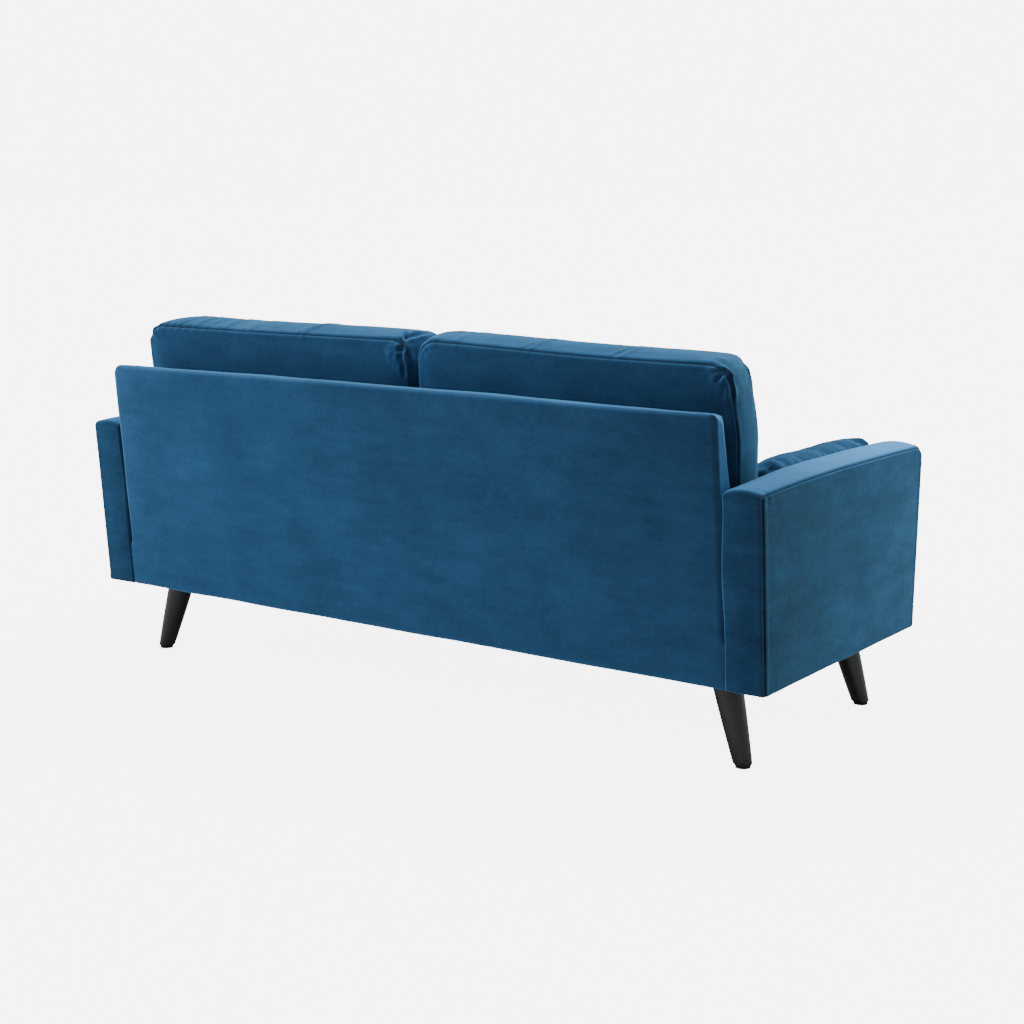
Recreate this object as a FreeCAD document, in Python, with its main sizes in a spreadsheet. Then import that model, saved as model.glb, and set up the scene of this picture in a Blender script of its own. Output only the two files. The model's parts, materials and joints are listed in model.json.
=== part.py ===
import FreeCAD, Part
import Sketcher
import math
import os
import re

# A two-seat sofa: a wooden base, backrest and two arms in fitted covers, four splayed round legs,
# and loose seat cushions, back cushions and arm pillows. Millimetres, +Z up, front towards -Y,
# the sitter's left towards +X, origin on the floor under the middle.

SIZES = {
    # whole sofa
    "half_width": 918.0,
    "leg_top": 183.0,
    "under_body": 182.0,
    "skin": 3.0,
    "ply": 3.0,
    "board": 25.0,
    "gap": 0.4,
    # arms, as widths at the bottom and the top
    "arm_inner_low": 830.0,
    "arm_inner_high": 823.0,
    "arm_top": 591.0,
    "arm_front_low": -381.5,
    "arm_front_high": -398.1,
    "arm_rear_low": 324.5,
    "arm_rear_high": 356.5,
    "arm_round": 14.0,
    "arm_frame_inner": 846.0,
    "arm_frame_outer": 902.0,
    "arm_frame_front": -365.0,
    "arm_frame_rear": 310.0,
    "arm_frame_top": 572.0,
    "arm_post": 40.0,
    # backrest
    "back_low": 290.3,
    "back_top": 731.0,
    "back_half_low": 823.5,
    "back_half_high": 819.0,
    "back_front_low": 218.0,
    "back_front_high": 296.0,
    "back_rear_low": 333.5,
    "back_rear_high": 394.5,
    "back_round": 12.0,
    "back_lean": 5.0,
    "back_frame_half": 795.0,
    "back_frame_depth": 52.0,
    "back_frame_height": 412.0,
    "back_rail": 45.0,
    "back_post": 40.0,
    "back_frame_rise": 8.0,
    "back_frame_set": 1.0,
    "board_gap": 0.2,
    "outside_drop": 3.0,
    "outside_rear_low": 321.5,
    "outside_rear_high": 397.5,
    # base
    "base_half": 828.0,
    "base_frame_half": 825.0,
    "rail_low": 186.0,
    "rail_high": 284.0,
    "front_rail_front": -372.0,
    "rear_rail_rear": 310.0,
    "stretcher_high": 255.0,
    "border_rear": -372.5,
    "deck_low": 291.0,
    "deck_high": 300.0,
    "deck_rear": 215.0,
    "block_side": 108.0,
    "block_high": 232.0,
    "rear_block_extra": 20.0,
    "deck_side_gap": 4.0,
    "border_rake": 4.0,
    "leg_hole_gap": 1.0,
    # legs
    "foot_x": 823.0,
    "foot_front_y": -325.0,
    "foot_rear_y": 229.0,
    "splay_side": 52.0,
    "splay_end": 14.0,
    "leg_foot_radius": 19.5,
    "leg_top_radius": 32.5,
    "leg_bevel": 1.5,
    "glide_height": 4.0,
    "glide_radius": 16.0,
    "plate_side": 88.0,
    # springs and fasteners
    "wire_radius": 1.8,
    "spring_pitch": 27.0,
    "spring_half_width": 24.0,
    "spring_setback": 12.0,
    "spring_clearance": 1.2,
    "back_spring_stand": 2.2,
    "back_spring_room": 4.6,
    "clip_half": 9.0,
    "clip_half_depth": 6.0,
    "clip_under_deck": 0.5,
    "bolt_radius": 4.0,
    "bolt_head_radius": 9.0,
    "bolt_head_height": 4.0,
    "screw_radius": 2.2,
    "screw_head_radius": 4.5,
    "screw_head_height": 1.6,
    "screw_length": 30.0,
    "screw_spacing": 66.0,
    "stud_in_leg": 38.0,
    "stud_under_block": 8.0,
    "arm_bolt_rise": 22.0,
    "arm_bolt_cover": 22.0,
    "back_bolt_grip": 25.0,
    # loose cushions
    "seat_inner": 1.0,
    "seat_outer": 811.5,
    "seat_front": -388.0,
    "seat_rear": 214.5,
    "seat_low": 300.4,
    "seat_high": 432.0,
    "seat_round": 24.0,
    "cushion_low": 431.0,
    "cushion_high": 818.0,
    "cushion_thick": 122.0,
    "cushion_rear": 236.0,
    "cushion_lean": 3.0,
    "cushion_round": 34.0,
    "pillow_length": 488.0,
    "pillow_height": 208.0,
    "pillow_thick": 76.0,
    "pillow_round": 36.0,
    "pillow_lean": 45.0,
    "pillow_front": -380.0,
    "pillow_against": 813.0,
    "zip_width": 20.0,
    "zip_inset": 60.0,
}
WIRE_SIDES = 8
SEAT_SPRING_X = (100.0, 280.0, 460.0, 640.0)
BACK_SPRING_X = (150.0, 400.0, 650.0)
BACK_BOLT_X = (-520.0, 0.0, 520.0)
ARM_BOLT_Y = (-200.0, 140.0)
SIDES = {"left": 1, "right": -1}

doc = FreeCAD.newDocument("Sofa")
sheet = doc.addObject("Spreadsheet::Sheet", "Sizes")
for row, (alias, number) in enumerate(SIZES.items(), start=1):
    sheet.set(f"A{row}", alias)
    sheet.set(f"B{row}", str(number))
    sheet.setAlias(f"B{row}", alias)
doc.recompute()
ALIAS = re.compile(r"\b(" + "|".join(sorted(SIZES, key=len, reverse=True)) + r")\b")
nodes = []


def cells(text):
    """Turn the aliases in a formula into references to the sheet."""
    return ALIAS.sub(r"Sizes.\1", str(text))


def size(alias):
    """Read one driving dimension from the sheet."""
    return float(sheet.get(alias))


def bind(item, formulas):
    """Drive an object's properties from formulas in the sheet's aliases."""
    for name, formula in formulas.items():
        item.setExpression(name, cells(formula))
    return item


def keep(item, label):
    """Mark an object as one finished sub-part of the sofa."""
    item.Label = label
    nodes.append(item)
    return item


def side_span(side, low, high):
    """A span of X on the left, or its mirror image on the right."""
    return (low, high) if side > 0 else (f"-({high})", f"-({low})")


def block(name, x, y, z):
    """A box between two formulas on each axis."""
    item = doc.addObject("Part::Box", name)
    formulas = {}
    for length, axis, (low, high) in (("Length", "x", x), ("Width", "y", y), ("Height", "z", z)):
        formulas[length] = f"({high}) - ({low})"
        formulas[f"Placement.Base.{axis}"] = low
    return bind(item, formulas)


def tapered(name, x, y, z, x_top, y_top):
    """A box whose top rectangle differs from its bottom one."""
    item = doc.addObject("Part::Wedge", name)
    item.Placement = FreeCAD.Placement(FreeCAD.Vector(), FreeCAD.Rotation(FreeCAD.Vector(1, 0, 0), 90))
    limits = {
        "Xmin": x[0], "Xmax": x[1], "X2min": x_top[0], "X2max": x_top[1],
        "Ymin": z[0], "Ymax": z[1],
        "Zmin": f"-({y[1]})", "Zmax": f"-({y[0]})", "Z2min": f"-({y_top[1]})", "Z2max": f"-({y_top[0]})",
    }
    # The far limits go first, so that no limit ever crosses its opposite.
    item.Xmin, item.Ymin, item.Zmin, item.X2min, item.Z2min = -5000, -5000, -5000, -5000, -5000
    item.Xmax, item.Ymax, item.Zmax, item.X2max, item.Z2max = 5000, 5000, 5000, 5000, 5000
    return bind(item, limits)


def rounded(name, base, radius):
    """Round every edge of a solid."""
    doc.recompute()
    item = doc.addObject("Part::Fillet", name)
    item.Base = base
    item.Edges = [(i + 1, radius, radius) for i in range(len(base.Shape.Edges))]
    return item


def cut(name, base, tool):
    """Take one solid, or a group of solids, out of another."""
    item = doc.addObject("Part::Cut", name)
    item.Base = base
    item.Tool = tool
    return item


def fuse(name, items):
    """Join touching solids into one."""
    item = doc.addObject("Part::MultiFuse", name)
    item.Shapes = items
    return item


def group(name, items):
    """Hold several separate solids together."""
    item = doc.addObject("Part::Compound", name)
    item.Links = items
    return item


def turned(item, origin, axis, degrees, offset):
    """Put an object at an offset inside a frame that is turned about its own origin."""
    turn = FreeCAD.Rotation(FreeCAD.Vector(*axis), degrees)
    base = FreeCAD.Vector(*origin) + turn.multVec(FreeCAD.Vector(*offset))
    item.Placement = FreeCAD.Placement(base, turn)
    return item


def sized_box(name, length, width, height):
    """A box with bound sizes and no place yet."""
    item = doc.addObject("Part::Box", name)
    return bind(item, {"Length": length, "Width": width, "Height": height})


def bolt(name, start, axis, length, shank, head, head_height):
    """A headed bolt from the underside of its head at start, running along an axis."""
    turn = FreeCAD.Rotation(FreeCAD.Vector(0, 0, 1), FreeCAD.Vector(*axis))
    shaft = doc.addObject("Part::Cylinder", f"{name}_shank")
    bind(shaft, {"Radius": shank, "Height": length})
    shaft.Placement = FreeCAD.Placement(FreeCAD.Vector(*start), turn)
    cap = doc.addObject("Part::Cylinder", f"{name}_head")
    bind(cap, {"Radius": head, "Height": head_height})
    back = turn.multVec(FreeCAD.Vector(0, 0, -size(head_height)))
    cap.Placement = FreeCAD.Placement(FreeCAD.Vector(*start) + back, turn)
    return fuse(name, [shaft, cap])


def zigzag_wire(length, place):
    """One sinuous spring: bars across its width joined by half circles, running along its Y.

    The wire is drawn with flat sides, which keeps the long bent form light."""
    radius = size("spring_pitch") / 2
    reach = size("spring_half_width") - radius
    turns = int(length // size("spring_pitch"))
    edges = []
    for i in range(turns + 1):
        y = i * 2 * radius
        hand = 1 if i % 2 == 0 else -1
        start = FreeCAD.Vector(-hand * reach, y, 0)
        end = FreeCAD.Vector(hand * reach, y, 0)
        edges.append(Part.LineSegment(start, end).toShape())
        if i < turns:
            middle = FreeCAD.Vector(hand * (reach + radius), y + radius, 0)
            after = FreeCAD.Vector(hand * reach, y + 2 * radius, 0)
            edges.append(Part.Arc(end, middle, after).toShape())
    path = Part.Wire(edges)
    begin = FreeCAD.Vector(-reach, 0, 0)
    turns_round = [2 * math.pi * (k + 0.5) / WIRE_SIDES for k in range(WIRE_SIDES + 1)]
    girth = [begin + FreeCAD.Vector(0, math.cos(a), math.sin(a)) * size("wire_radius") for a in turns_round]
    spring = path.makePipeShell([Part.makePolygon(girth)], True, False)
    spring.Placement = place
    return spring


# ---- leg positions -------------------------------------------------------------------------

CORNERS = {}
for side_name, side in SIDES.items():
    for end_name, end in (("front", -1), ("rear", 1)):
        foot = (side * size("foot_x"), size(f"foot_{end_name}_y"))
        top = (foot[0] - side * size("splay_side"), foot[1] - end * size("splay_end"))
        CORNERS[f"{end_name}_{side_name}"] = {"foot": foot, "top": top, "side": side, "end": end}


# ---- fasteners, made first because the wood and covers are drilled by them -----------------

def hanger_bolts():
    """A steel bolt up out of the middle of each leg, through its plate, into its block."""
    studs = []
    for corner, place in CORNERS.items():
        stud = doc.addObject("Part::Cylinder", f"hanger_bolt_{corner}")
        bind(stud, {"Radius": "bolt_radius", "Height": "block_high - leg_top + stud_in_leg - stud_under_block"})
        stud.Placement.Base = FreeCAD.Vector(*place["top"], size("leg_top") - size("stud_in_leg"))
        studs.append(stud)
    return keep(group("hanger_bolts", studs), "hanger_bolts")


def plate_screws():
    """Four wood screws up through each leg plate."""
    screws = []
    half = size("screw_spacing") / 2
    for corner, place in CORNERS.items():
        for i, (dx, dy) in enumerate(((-half, -half), (-half, half), (half, -half), (half, half))):
            start = (place["top"][0] + dx, place["top"][1] + dy, size("leg_top") + size("screw_head_height"))
            screws.append(bolt(f"plate_screw_{corner}_{i}", start, (0, 0, 1), "screw_length",
                               "screw_radius", "screw_head_radius", "screw_head_height"))
    return keep(group("plate_screws", screws), "plate_screws")


def arm_bolts():
    """Two bolts through each side rail of the base into the arm's bottom rail."""
    bolts = []
    level = size("rail_low") + size("arm_bolt_rise")
    for side_name, side in SIDES.items():
        for i, y in enumerate(ARM_BOLT_Y):
            start = (side * (size("base_frame_half") - size("board")), y, level)
            bolts.append(bolt(f"arm_bolt_{side_name}_{i}", start, (side, 0, 0),
                              "arm_frame_outer - base_frame_half + board - arm_bolt_cover",
                              "bolt_radius", "bolt_head_radius", "bolt_head_height"))
    return keep(group("arm_bolts", bolts), "arm_bolts")


def back_bolts():
    """Long bolts up through the base's rear rail into the backrest's bottom rail."""
    bolts = []
    y = size("rear_rail_rear") - size("board") / 2
    low = size("rail_low") + size("bolt_head_height")
    for i, x in enumerate(BACK_BOLT_X):
        bolts.append(bolt(f"back_bolt_{i}", (x, y, low), (0, 0, 1), "back_low - rail_low + back_bolt_grip",
                          "bolt_radius", "bolt_head_radius", "bolt_head_height"))
    return keep(group("back_bolts", bolts), "back_bolts")


studs = hanger_bolts()
screws = plate_screws()
arm_fixings = arm_bolts()
back_fixings = back_bolts()


# ---- base ----------------------------------------------------------------------------------

def base_frame():
    """Four rails and a stretcher, drilled where bolts pass."""
    level = ("rail_low", "rail_high")
    whole = ("-base_frame_half", "base_frame_half")
    keep(block("front_rail", whole, ("front_rail_front", "front_rail_front + board"), level), "front_rail")
    rear = block("rear_rail_blank", whole, ("rear_rail_rear - board", "rear_rail_rear"), level)
    keep(cut("rear_rail", rear, back_fixings), "rear_rail")
    length = ("front_rail_front + board", "rear_rail_rear - board")
    for side_name, side in SIDES.items():
        x = side_span(side, "base_frame_half - board", "base_frame_half")
        rail = block(f"side_rail_{side_name}_blank", x, length, level)
        drilled = cut(f"side_rail_{side_name}_drilled", rail, arm_fixings)
        keep(cut(f"side_rail_{side_name}", drilled, screws), f"side_rail_{side_name}")
    keep(block("centre_stretcher", ("-board / 2", "board / 2"), length, ("rail_low", "stretcher_high")),
         "centre_stretcher")


def corner_blocks():
    """A glued block in each corner of the base, which the leg's bolt and screws go into."""
    blocks = []
    for corner, place in CORNERS.items():
        x = side_span(place["side"], "base_frame_half - board - block_side", "base_frame_half - board")
        if place["end"] < 0:
            y = ("front_rail_front + board", "front_rail_front + board + block_side")
        else:
            y = ("rear_rail_rear - board - block_side - rear_block_extra", "rear_rail_rear - board")
        blocks.append(block(f"corner_block_{corner}", x, y, ("rail_low", "block_high")))
    solid = group("corner_blocks_blank", blocks)
    keep(cut("corner_blocks", cut("corner_blocks_bored", solid, studs), screws), "corner_blocks")


def leg_plates():
    """A square steel plate over each leg."""
    plates = []
    half = "plate_side / 2"
    for corner, place in CORNERS.items():
        x, y = place["top"]
        plates.append(block(f"leg_plate_{corner}", (f"{x} - {half}", f"{x} + {half}"),
                            (f"{y} - {half}", f"{y} + {half}"), ("leg_top", "rail_low")))
    solid = group("leg_plates_blank", plates)
    keep(cut("leg_plates", cut("leg_plates_bored", solid, studs), screws), "leg_plates")


def circle_sketch(body, name, height, radius, x):
    """A circle on the body's XY plane, raised to a height."""
    sketch = body.newObject("Sketcher::SketchObject", name)
    plane = [f for f in body.Origin.OriginFeatures if f.Role == "XY_Plane"][0]
    sketch.AttachmentSupport = [(plane, "")]
    sketch.MapMode = "FlatFace"
    sketch.setExpression("AttachmentOffset.Base.z", cells(height))
    sketch.addGeometry(Part.Circle(FreeCAD.Vector(x, 0, 0), FreeCAD.Vector(0, 0, 1), size("leg_foot_radius")))
    sketch.addConstraint(Sketcher.Constraint("Radius", 0, size("leg_foot_radius")))
    sketch.setExpression("Constraints[0]", cells(radius))
    if x:
        sketch.addConstraint(Sketcher.Constraint("PointOnObject", 0, 3, -1))
        sketch.addConstraint(Sketcher.Constraint("DistanceX", -1, 1, 0, 3, x))
    else:
        sketch.addConstraint(Sketcher.Constraint("Coincident", 0, 3, -1, 1))
    return sketch


def legs():
    """Tapered round legs, splayed outwards, cut level at the plate and at the glide."""
    splay = math.hypot(size("splay_side"), size("splay_end"))
    for corner, place in CORNERS.items():
        body = doc.addObject("PartDesign::Body", f"leg_{corner}_turned")
        foot = circle_sketch(body, f"leg_{corner}_foot", "glide_height", "leg_foot_radius - leg_bevel", splay)
        edge = circle_sketch(body, f"leg_{corner}_edge", "glide_height + leg_bevel", "leg_foot_radius", splay)
        top = circle_sketch(body, f"leg_{corner}_top", "leg_top", "leg_top_radius", 0)
        loft = body.newObject("PartDesign::AdditiveLoft", f"leg_{corner}_loft")
        loft.Profile = foot
        loft.Sections = [edge, top]
        loft.Ruled = True
        away = (place["foot"][0] - place["top"][0], place["foot"][1] - place["top"][1])
        heading = math.degrees(math.atan2(away[1], away[0]))
        body.Placement = FreeCAD.Placement(FreeCAD.Vector(*place["top"], 0),
                                           FreeCAD.Rotation(FreeCAD.Vector(0, 0, 1), heading))
        keep(cut(f"leg_{corner}", body, studs), f"leg_{corner}")


def leg_glides():
    """A hard pad under each foot."""
    pads = []
    for corner, place in CORNERS.items():
        pad = doc.addObject("Part::Cylinder", f"leg_glide_{corner}")
        bind(pad, {"Radius": "glide_radius", "Height": "glide_height"})
        pad.Placement.Base = FreeCAD.Vector(*place["foot"], 0)
        pads.append(pad)
    keep(group("leg_glides", pads), "leg_glides")


def dust_cover():
    """Black cloth under the base, open round each leg."""
    cloth = block("dust_cover_blank", ("-base_half", "base_half"), ("border_rear", "outside_rear_low - skin"),
                  ("under_body", "leg_top"))
    holes = []
    for corner, place in CORNERS.items():
        hole = doc.addObject("Part::Cylinder", f"dust_cover_hole_{corner}")
        bind(hole, {"Radius": "leg_top_radius + leg_hole_gap", "Height": "leg_top - under_body + 2 * leg_hole_gap"})
        hole.Placement.Base = FreeCAD.Vector(*place["top"], size("under_body") - size("leg_hole_gap"))
        holes.append(hole)
    keep(cut("dust_cover", cloth, group("dust_cover_holes", holes)), "dust_cover")


def seat_deck():
    """Springs on the rails, the felt pad over them, the deck cloth, and the padded front border."""
    start = size("front_rail_front") + size("spring_setback")
    length = size("rear_rail_rear") - size("front_rail_front") - 2 * size("spring_setback")
    level = size("rail_high") + size("wire_radius") + size("spring_clearance")
    wires = []
    clips = []
    for x in [s * x for x in SEAT_SPRING_X for s in (1, -1)]:
        place = FreeCAD.Placement(FreeCAD.Vector(x, start, level), FreeCAD.Rotation())
        wires.append(zigzag_wire(length, place))
        turns = int(length // size("spring_pitch"))
        for y in (start, start + turns * size("spring_pitch")):
            clips.append(block(f"spring_clip_{len(clips)}", (f"{x} - clip_half", f"{x} + clip_half"),
                               (f"{y} - clip_half_depth", f"{y} + clip_half_depth"),
                               ("rail_high", "back_low - clip_under_deck")))
    springs = doc.addObject("Part::Feature", "seat_springs")
    springs.Shape = Part.makeCompound(wires)
    keep(springs, "seat_springs")
    seat_clips = cut("seat_spring_clips", group("seat_spring_clips_blank", clips), springs)
    wide = ("-base_half + deck_side_gap", "base_half - deck_side_gap")
    long = ("border_rear + gap", "deck_rear")
    keep(block("deck_pad", wide, long, ("deck_low", "deck_high - skin")), "deck_pad")
    keep(block("deck_cover", wide, long, ("deck_high - skin", "deck_high")), "deck_cover")
    keep(tapered("front_border", ("-base_half", "base_half"), ("arm_front_low", "border_rear"),
                 ("under_body", "deck_high"), wide, ("arm_front_low - border_rake", "border_rear")),
         "front_border")
    return seat_clips


# ---- backrest ------------------------------------------------------------------------------

def back_origin():
    """The lower rear corner of the backrest's frame, which the frame leans about."""
    return (0, size("back_rear_low") - size("skin") - size("back_frame_set"),
            size("back_low") + size("skin") + size("back_frame_rise"))


def back_part(name, x, width, depth_from, depth, up_from, height):
    """A board of the backrest's frame, in axes that lean back with it."""
    item = sized_box(name, width, depth, height)
    return turned(item, back_origin(), (1, 0, 0), -size("back_lean"), (x, depth_from, up_from))


def backrest(seat_clips):
    """Frame, springs, padding and cover of the backrest, and the outside panel behind it."""
    half = size("back_frame_half")
    depth = size("back_frame_depth")
    rail = size("back_rail")
    post = size("back_post")
    clips = []
    high = size("back_frame_height")
    front = -depth - size("ply") - size("back_frame_set")
    spring_room = size("back_spring_room")
    clip_half = size("clip_half")
    clip_depth = size("clip_half_depth")
    low_rail = back_part("back_bottom_rail_blank", -half, "back_frame_half * 2", front, "back_frame_depth", 0,
                         "back_rail")
    keep(cut("back_bottom_rail", low_rail, back_fixings), "back_bottom_rail")
    keep(back_part("back_top_rail", -half, "back_frame_half * 2", front, "back_frame_depth", high - rail,
                   "back_rail"), "back_top_rail")
    for label, x in (("back_post_left", half - post), ("back_post_centre", -post / 2), ("back_post_right", -half)):
        keep(back_part(label, x, "back_post", front, "back_frame_depth", rail,
                       "back_frame_height - back_rail * 2"), label)
    keep(back_part("back_board", -half, "back_frame_half * 2", front + depth + size("board_gap"), "ply", 0,
                   "back_frame_height"), "back_board")

    lean = FreeCAD.Rotation(FreeCAD.Vector(1, 0, 0), -size("back_lean"))
    upright = FreeCAD.Rotation(FreeCAD.Vector(1, 0, 0), 90)
    origin = FreeCAD.Vector(*back_origin())
    wires = []
    for x in [s * x for x in BACK_SPRING_X for s in (1, -1)]:
        base = origin + lean.multVec(FreeCAD.Vector(x, front - size("back_spring_stand"), rail / 2))
        wires.append(zigzag_wire(high - rail, FreeCAD.Placement(base, lean.multiply(upright))))
        for level in (rail / 2, rail / 2 + (high - rail) // size("spring_pitch") * size("spring_pitch")):
            clip = back_part(f"back_clip_{len(clips)}", x - clip_half, "2 * clip_half",
                             front - spring_room + size("board_gap"), "back_spring_room - board_gap",
                             level - clip_depth, "2 * clip_half_depth")
            clips.append(clip)
    springs = doc.addObject("Part::Feature", "back_springs")
    springs.Shape = Part.makeCompound(wires)
    keep(springs, "back_springs")
    back_clips = cut("back_spring_clips", group("back_spring_clips_blank", clips), springs)
    keep(group("spring_clips", [seat_clips, back_clips]), "spring_clips")

    x_low = ("-back_half_low", "back_half_low")
    x_high = ("-back_half_high", "back_half_high")
    shell = tapered("back_cover_outer", x_low, ("back_front_low", "back_rear_low"), ("back_low", "back_top"),
                    x_high, ("back_front_high", "back_rear_high"))
    soft = rounded("back_cover_soft", shell, size("back_round"))
    inset_x_low = ("-back_half_low + skin", "back_half_low - skin")
    inset_x_high = ("-back_half_high + skin", "back_half_high - skin")
    height = ("back_low + skin", "back_top - skin")
    hollow = tapered("back_cover_hollow", inset_x_low, ("back_front_low + skin", "back_rear_low - skin"), height,
                     inset_x_high, ("back_front_high + skin", "back_rear_high - skin"))
    hollow_soft = rounded("back_cover_hollow_soft", hollow, size("back_round") - size("skin"))
    empty = cut("back_cover_empty", soft, hollow_soft)
    keep(cut("back_cover", empty, back_fixings), "back_cover")

    thick = "back_frame_depth + ply + board_gap + back_spring_room"
    room = back_part("back_room", -half, "back_frame_half * 2", front - spring_room, thick, 0, "back_frame_height")
    keep(cut("back_pad", cut("back_wadding", hollow_soft, room), back_fixings), "back_pad")

    keep(tapered("outside_back", ("-arm_inner_low + gap", "arm_inner_low - gap"),
                 ("outside_rear_low - skin", "outside_rear_low"), ("under_body", "back_top - outside_drop"),
                 x_high, ("outside_rear_high - skin", "outside_rear_high")), "outside_back")


# ---- arms ----------------------------------------------------------------------------------

def arm(side_name, side):
    """One arm: two posts, two rails and two ply panels inside a wadding wrap and a fitted cover."""
    inside = side_span(side, "arm_frame_inner + ply", "arm_frame_outer - ply")
    length = ("arm_frame_front", "arm_frame_rear")
    posts_high = ("rail_low", "arm_frame_top - board")
    name = f"arm_{side_name}"
    front_post = block(f"{name}_front_post", inside, ("arm_frame_front", "arm_frame_front + arm_post"), posts_high)
    rear_post = block(f"{name}_rear_post", inside, ("arm_frame_rear - arm_post", "arm_frame_rear"), posts_high)
    keep(group(f"{name}_posts", [front_post, rear_post]), f"{name}_posts")
    keep(block(f"{name}_top_rail", inside, length, ("arm_frame_top - board", "arm_frame_top")),
         f"{name}_top_rail")
    rail = block(f"{name}_bottom_rail_blank", inside, ("arm_frame_front + arm_post", "arm_frame_rear - arm_post"),
                 ("rail_low", "rail_low + arm_post"))
    keep(cut(f"{name}_bottom_rail", rail, arm_fixings), f"{name}_bottom_rail")
    tall = ("rail_low", "arm_frame_top")
    inner = block(f"{name}_inner_panel", side_span(side, "arm_frame_inner", "arm_frame_inner + ply"), length, tall)
    outer = block(f"{name}_outer_panel", side_span(side, "arm_frame_outer - ply", "arm_frame_outer"), length, tall)
    keep(cut(f"{name}_panels", group(f"{name}_panels_blank", [inner, outer]), arm_fixings), f"{name}_panels")

    shell = tapered(f"{name}_outer", side_span(side, "arm_inner_low", "half_width"),
                    ("arm_front_low", "arm_rear_low"), ("under_body", "arm_top"),
                    side_span(side, "arm_inner_high", "half_width"), ("arm_front_high", "arm_rear_high"))
    soft = rounded(f"{name}_soft", shell, size("arm_round"))
    hollow = tapered(f"{name}_hollow", side_span(side, "arm_inner_low + skin", "half_width - skin"),
                     ("arm_front_low + skin", "arm_rear_low - skin"), ("under_body + skin", "arm_top - skin"),
                     side_span(side, "arm_inner_high + skin", "half_width - skin"),
                     ("arm_front_high + skin", "arm_rear_high - skin"))
    hollow_soft = rounded(f"{name}_hollow_soft", hollow, size("arm_round") - size("skin"))
    keep(cut(f"{name}_cover", cut(f"{name}_skin", soft, hollow_soft), arm_fixings), f"{name}_cover")

    frame_room = block(f"{name}_room", side_span(side, "arm_frame_inner", "arm_frame_outer"), length, tall)
    wadding = cut(f"{name}_wadding", hollow_soft, frame_room)
    keep(cut(f"{name}_pad", wadding, arm_fixings), f"{name}_pad")


# ---- loose cushions ------------------------------------------------------------------------

def cushion(name, sizes, round_alias, place, zip_offset, zip_sizes):
    """A foam core, the cover round it, and the zip let into the cover."""
    origin, axis, degrees = place
    length, width, height = sizes
    outer = turned(sized_box(f"{name}_block", length, width, height), origin, axis, degrees, (0, 0, 0))
    skin = size("skin")
    inner = turned(sized_box(f"{name}_room", f"{length} - 2 * skin", f"{width} - 2 * skin", f"{height} - 2 * skin"),
                   origin, axis, degrees, (skin, skin, skin))
    core = rounded(f"{name}_core", inner, size(round_alias) - skin)
    keep(core, f"{name}_core")
    zipper = turned(sized_box(f"{name}_zip", *zip_sizes), origin, axis, degrees, zip_offset)
    keep(zipper, f"{name}_zip")
    case = cut(f"{name}_case", rounded(f"{name}_soft", outer, size(round_alias)), core)
    keep(cut(f"{name}_cover", case, zipper), f"{name}_cover")


def seat_cushion(side_name, side):
    """A flat box cushion on the deck, zipped along its back."""
    start = size("seat_inner") if side > 0 else -size("seat_outer")
    origin = (start, size("seat_front"), size("seat_low"))
    inset = size("zip_inset")
    middle = (size("seat_high") - size("seat_low") - size("zip_width")) / 2
    deep = size("seat_rear") - size("seat_front") - size("skin")
    cushion(f"seat_cushion_{side_name}",
            ("(seat_outer - seat_inner)", "(seat_rear - seat_front)", "(seat_high - seat_low)"),
            "seat_round", (origin, (1, 0, 0), 0), (inset, deep, middle),
            ("seat_outer - seat_inner - 2 * zip_inset", "skin", "zip_width"))


def back_cushion(side_name, side):
    """A tall box cushion that stands on the seat and leans back, zipped underneath."""
    lean = size("cushion_lean")
    start = size("seat_inner") if side > 0 else -size("seat_outer")
    thick = size("cushion_thick")
    origin = (start, size("cushion_rear") - thick, size("cushion_low") + thick * math.sin(math.radians(lean)))
    middle = (thick - size("zip_width")) / 2
    cushion(f"back_cushion_{side_name}",
            ("(seat_outer - seat_inner)", "cushion_thick", "(cushion_high - cushion_low)"),
            "cushion_round", (origin, (1, 0, 0), -lean), (size("zip_inset"), middle, 0),
            ("seat_outer - seat_inner - 2 * zip_inset", "zip_width", "skin"))


def arm_pillow(side_name, side):
    """A small pillow that stands on the seat and leans against the inside of an arm."""
    lean = size("pillow_lean")
    half = FreeCAD.Vector(size("pillow_thick"), size("pillow_length"), size("pillow_height")) / 2
    slope = math.radians(lean)
    reach = half.z - half.x
    middle_z = size("seat_high") + 1 + half.x + reach * math.cos(slope)
    middle_x = size("pillow_against") - half.x - reach * math.sin(slope)
    turn = FreeCAD.Rotation(FreeCAD.Vector(0, 1, 0), side * lean)
    middle = FreeCAD.Vector(side * middle_x, size("pillow_front") + half.y, middle_z)
    place = (middle - turn.multVec(half), (0, 1, 0), side * lean)
    name = f"arm_pillow_{side_name}"
    outer = turned(sized_box(f"{name}_block", "pillow_thick", "pillow_length", "pillow_height"), *place, (0, 0, 0))
    skin = size("skin")
    inner = turned(sized_box(f"{name}_room", "pillow_thick - 2 * skin", "pillow_length - 2 * skin",
                             "pillow_height - 2 * skin"), *place, (skin, skin, skin))
    core = keep(rounded(f"{name}_core", inner, size("pillow_round") - skin), f"{name}_core")
    soft = rounded(f"{name}_soft", outer, size("pillow_round"))
    keep(cut(f"{name}_cover", soft, core), f"{name}_cover")


base_frame()
corner_blocks()
leg_plates()
legs()
leg_glides()
dust_cover()
backrest(seat_deck())
for side_name, side in SIDES.items():
    arm(side_name, side)
    seat_cushion(side_name, side)
    back_cushion(side_name, side)
    arm_pillow(side_name, side)
doc.recompute()

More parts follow.
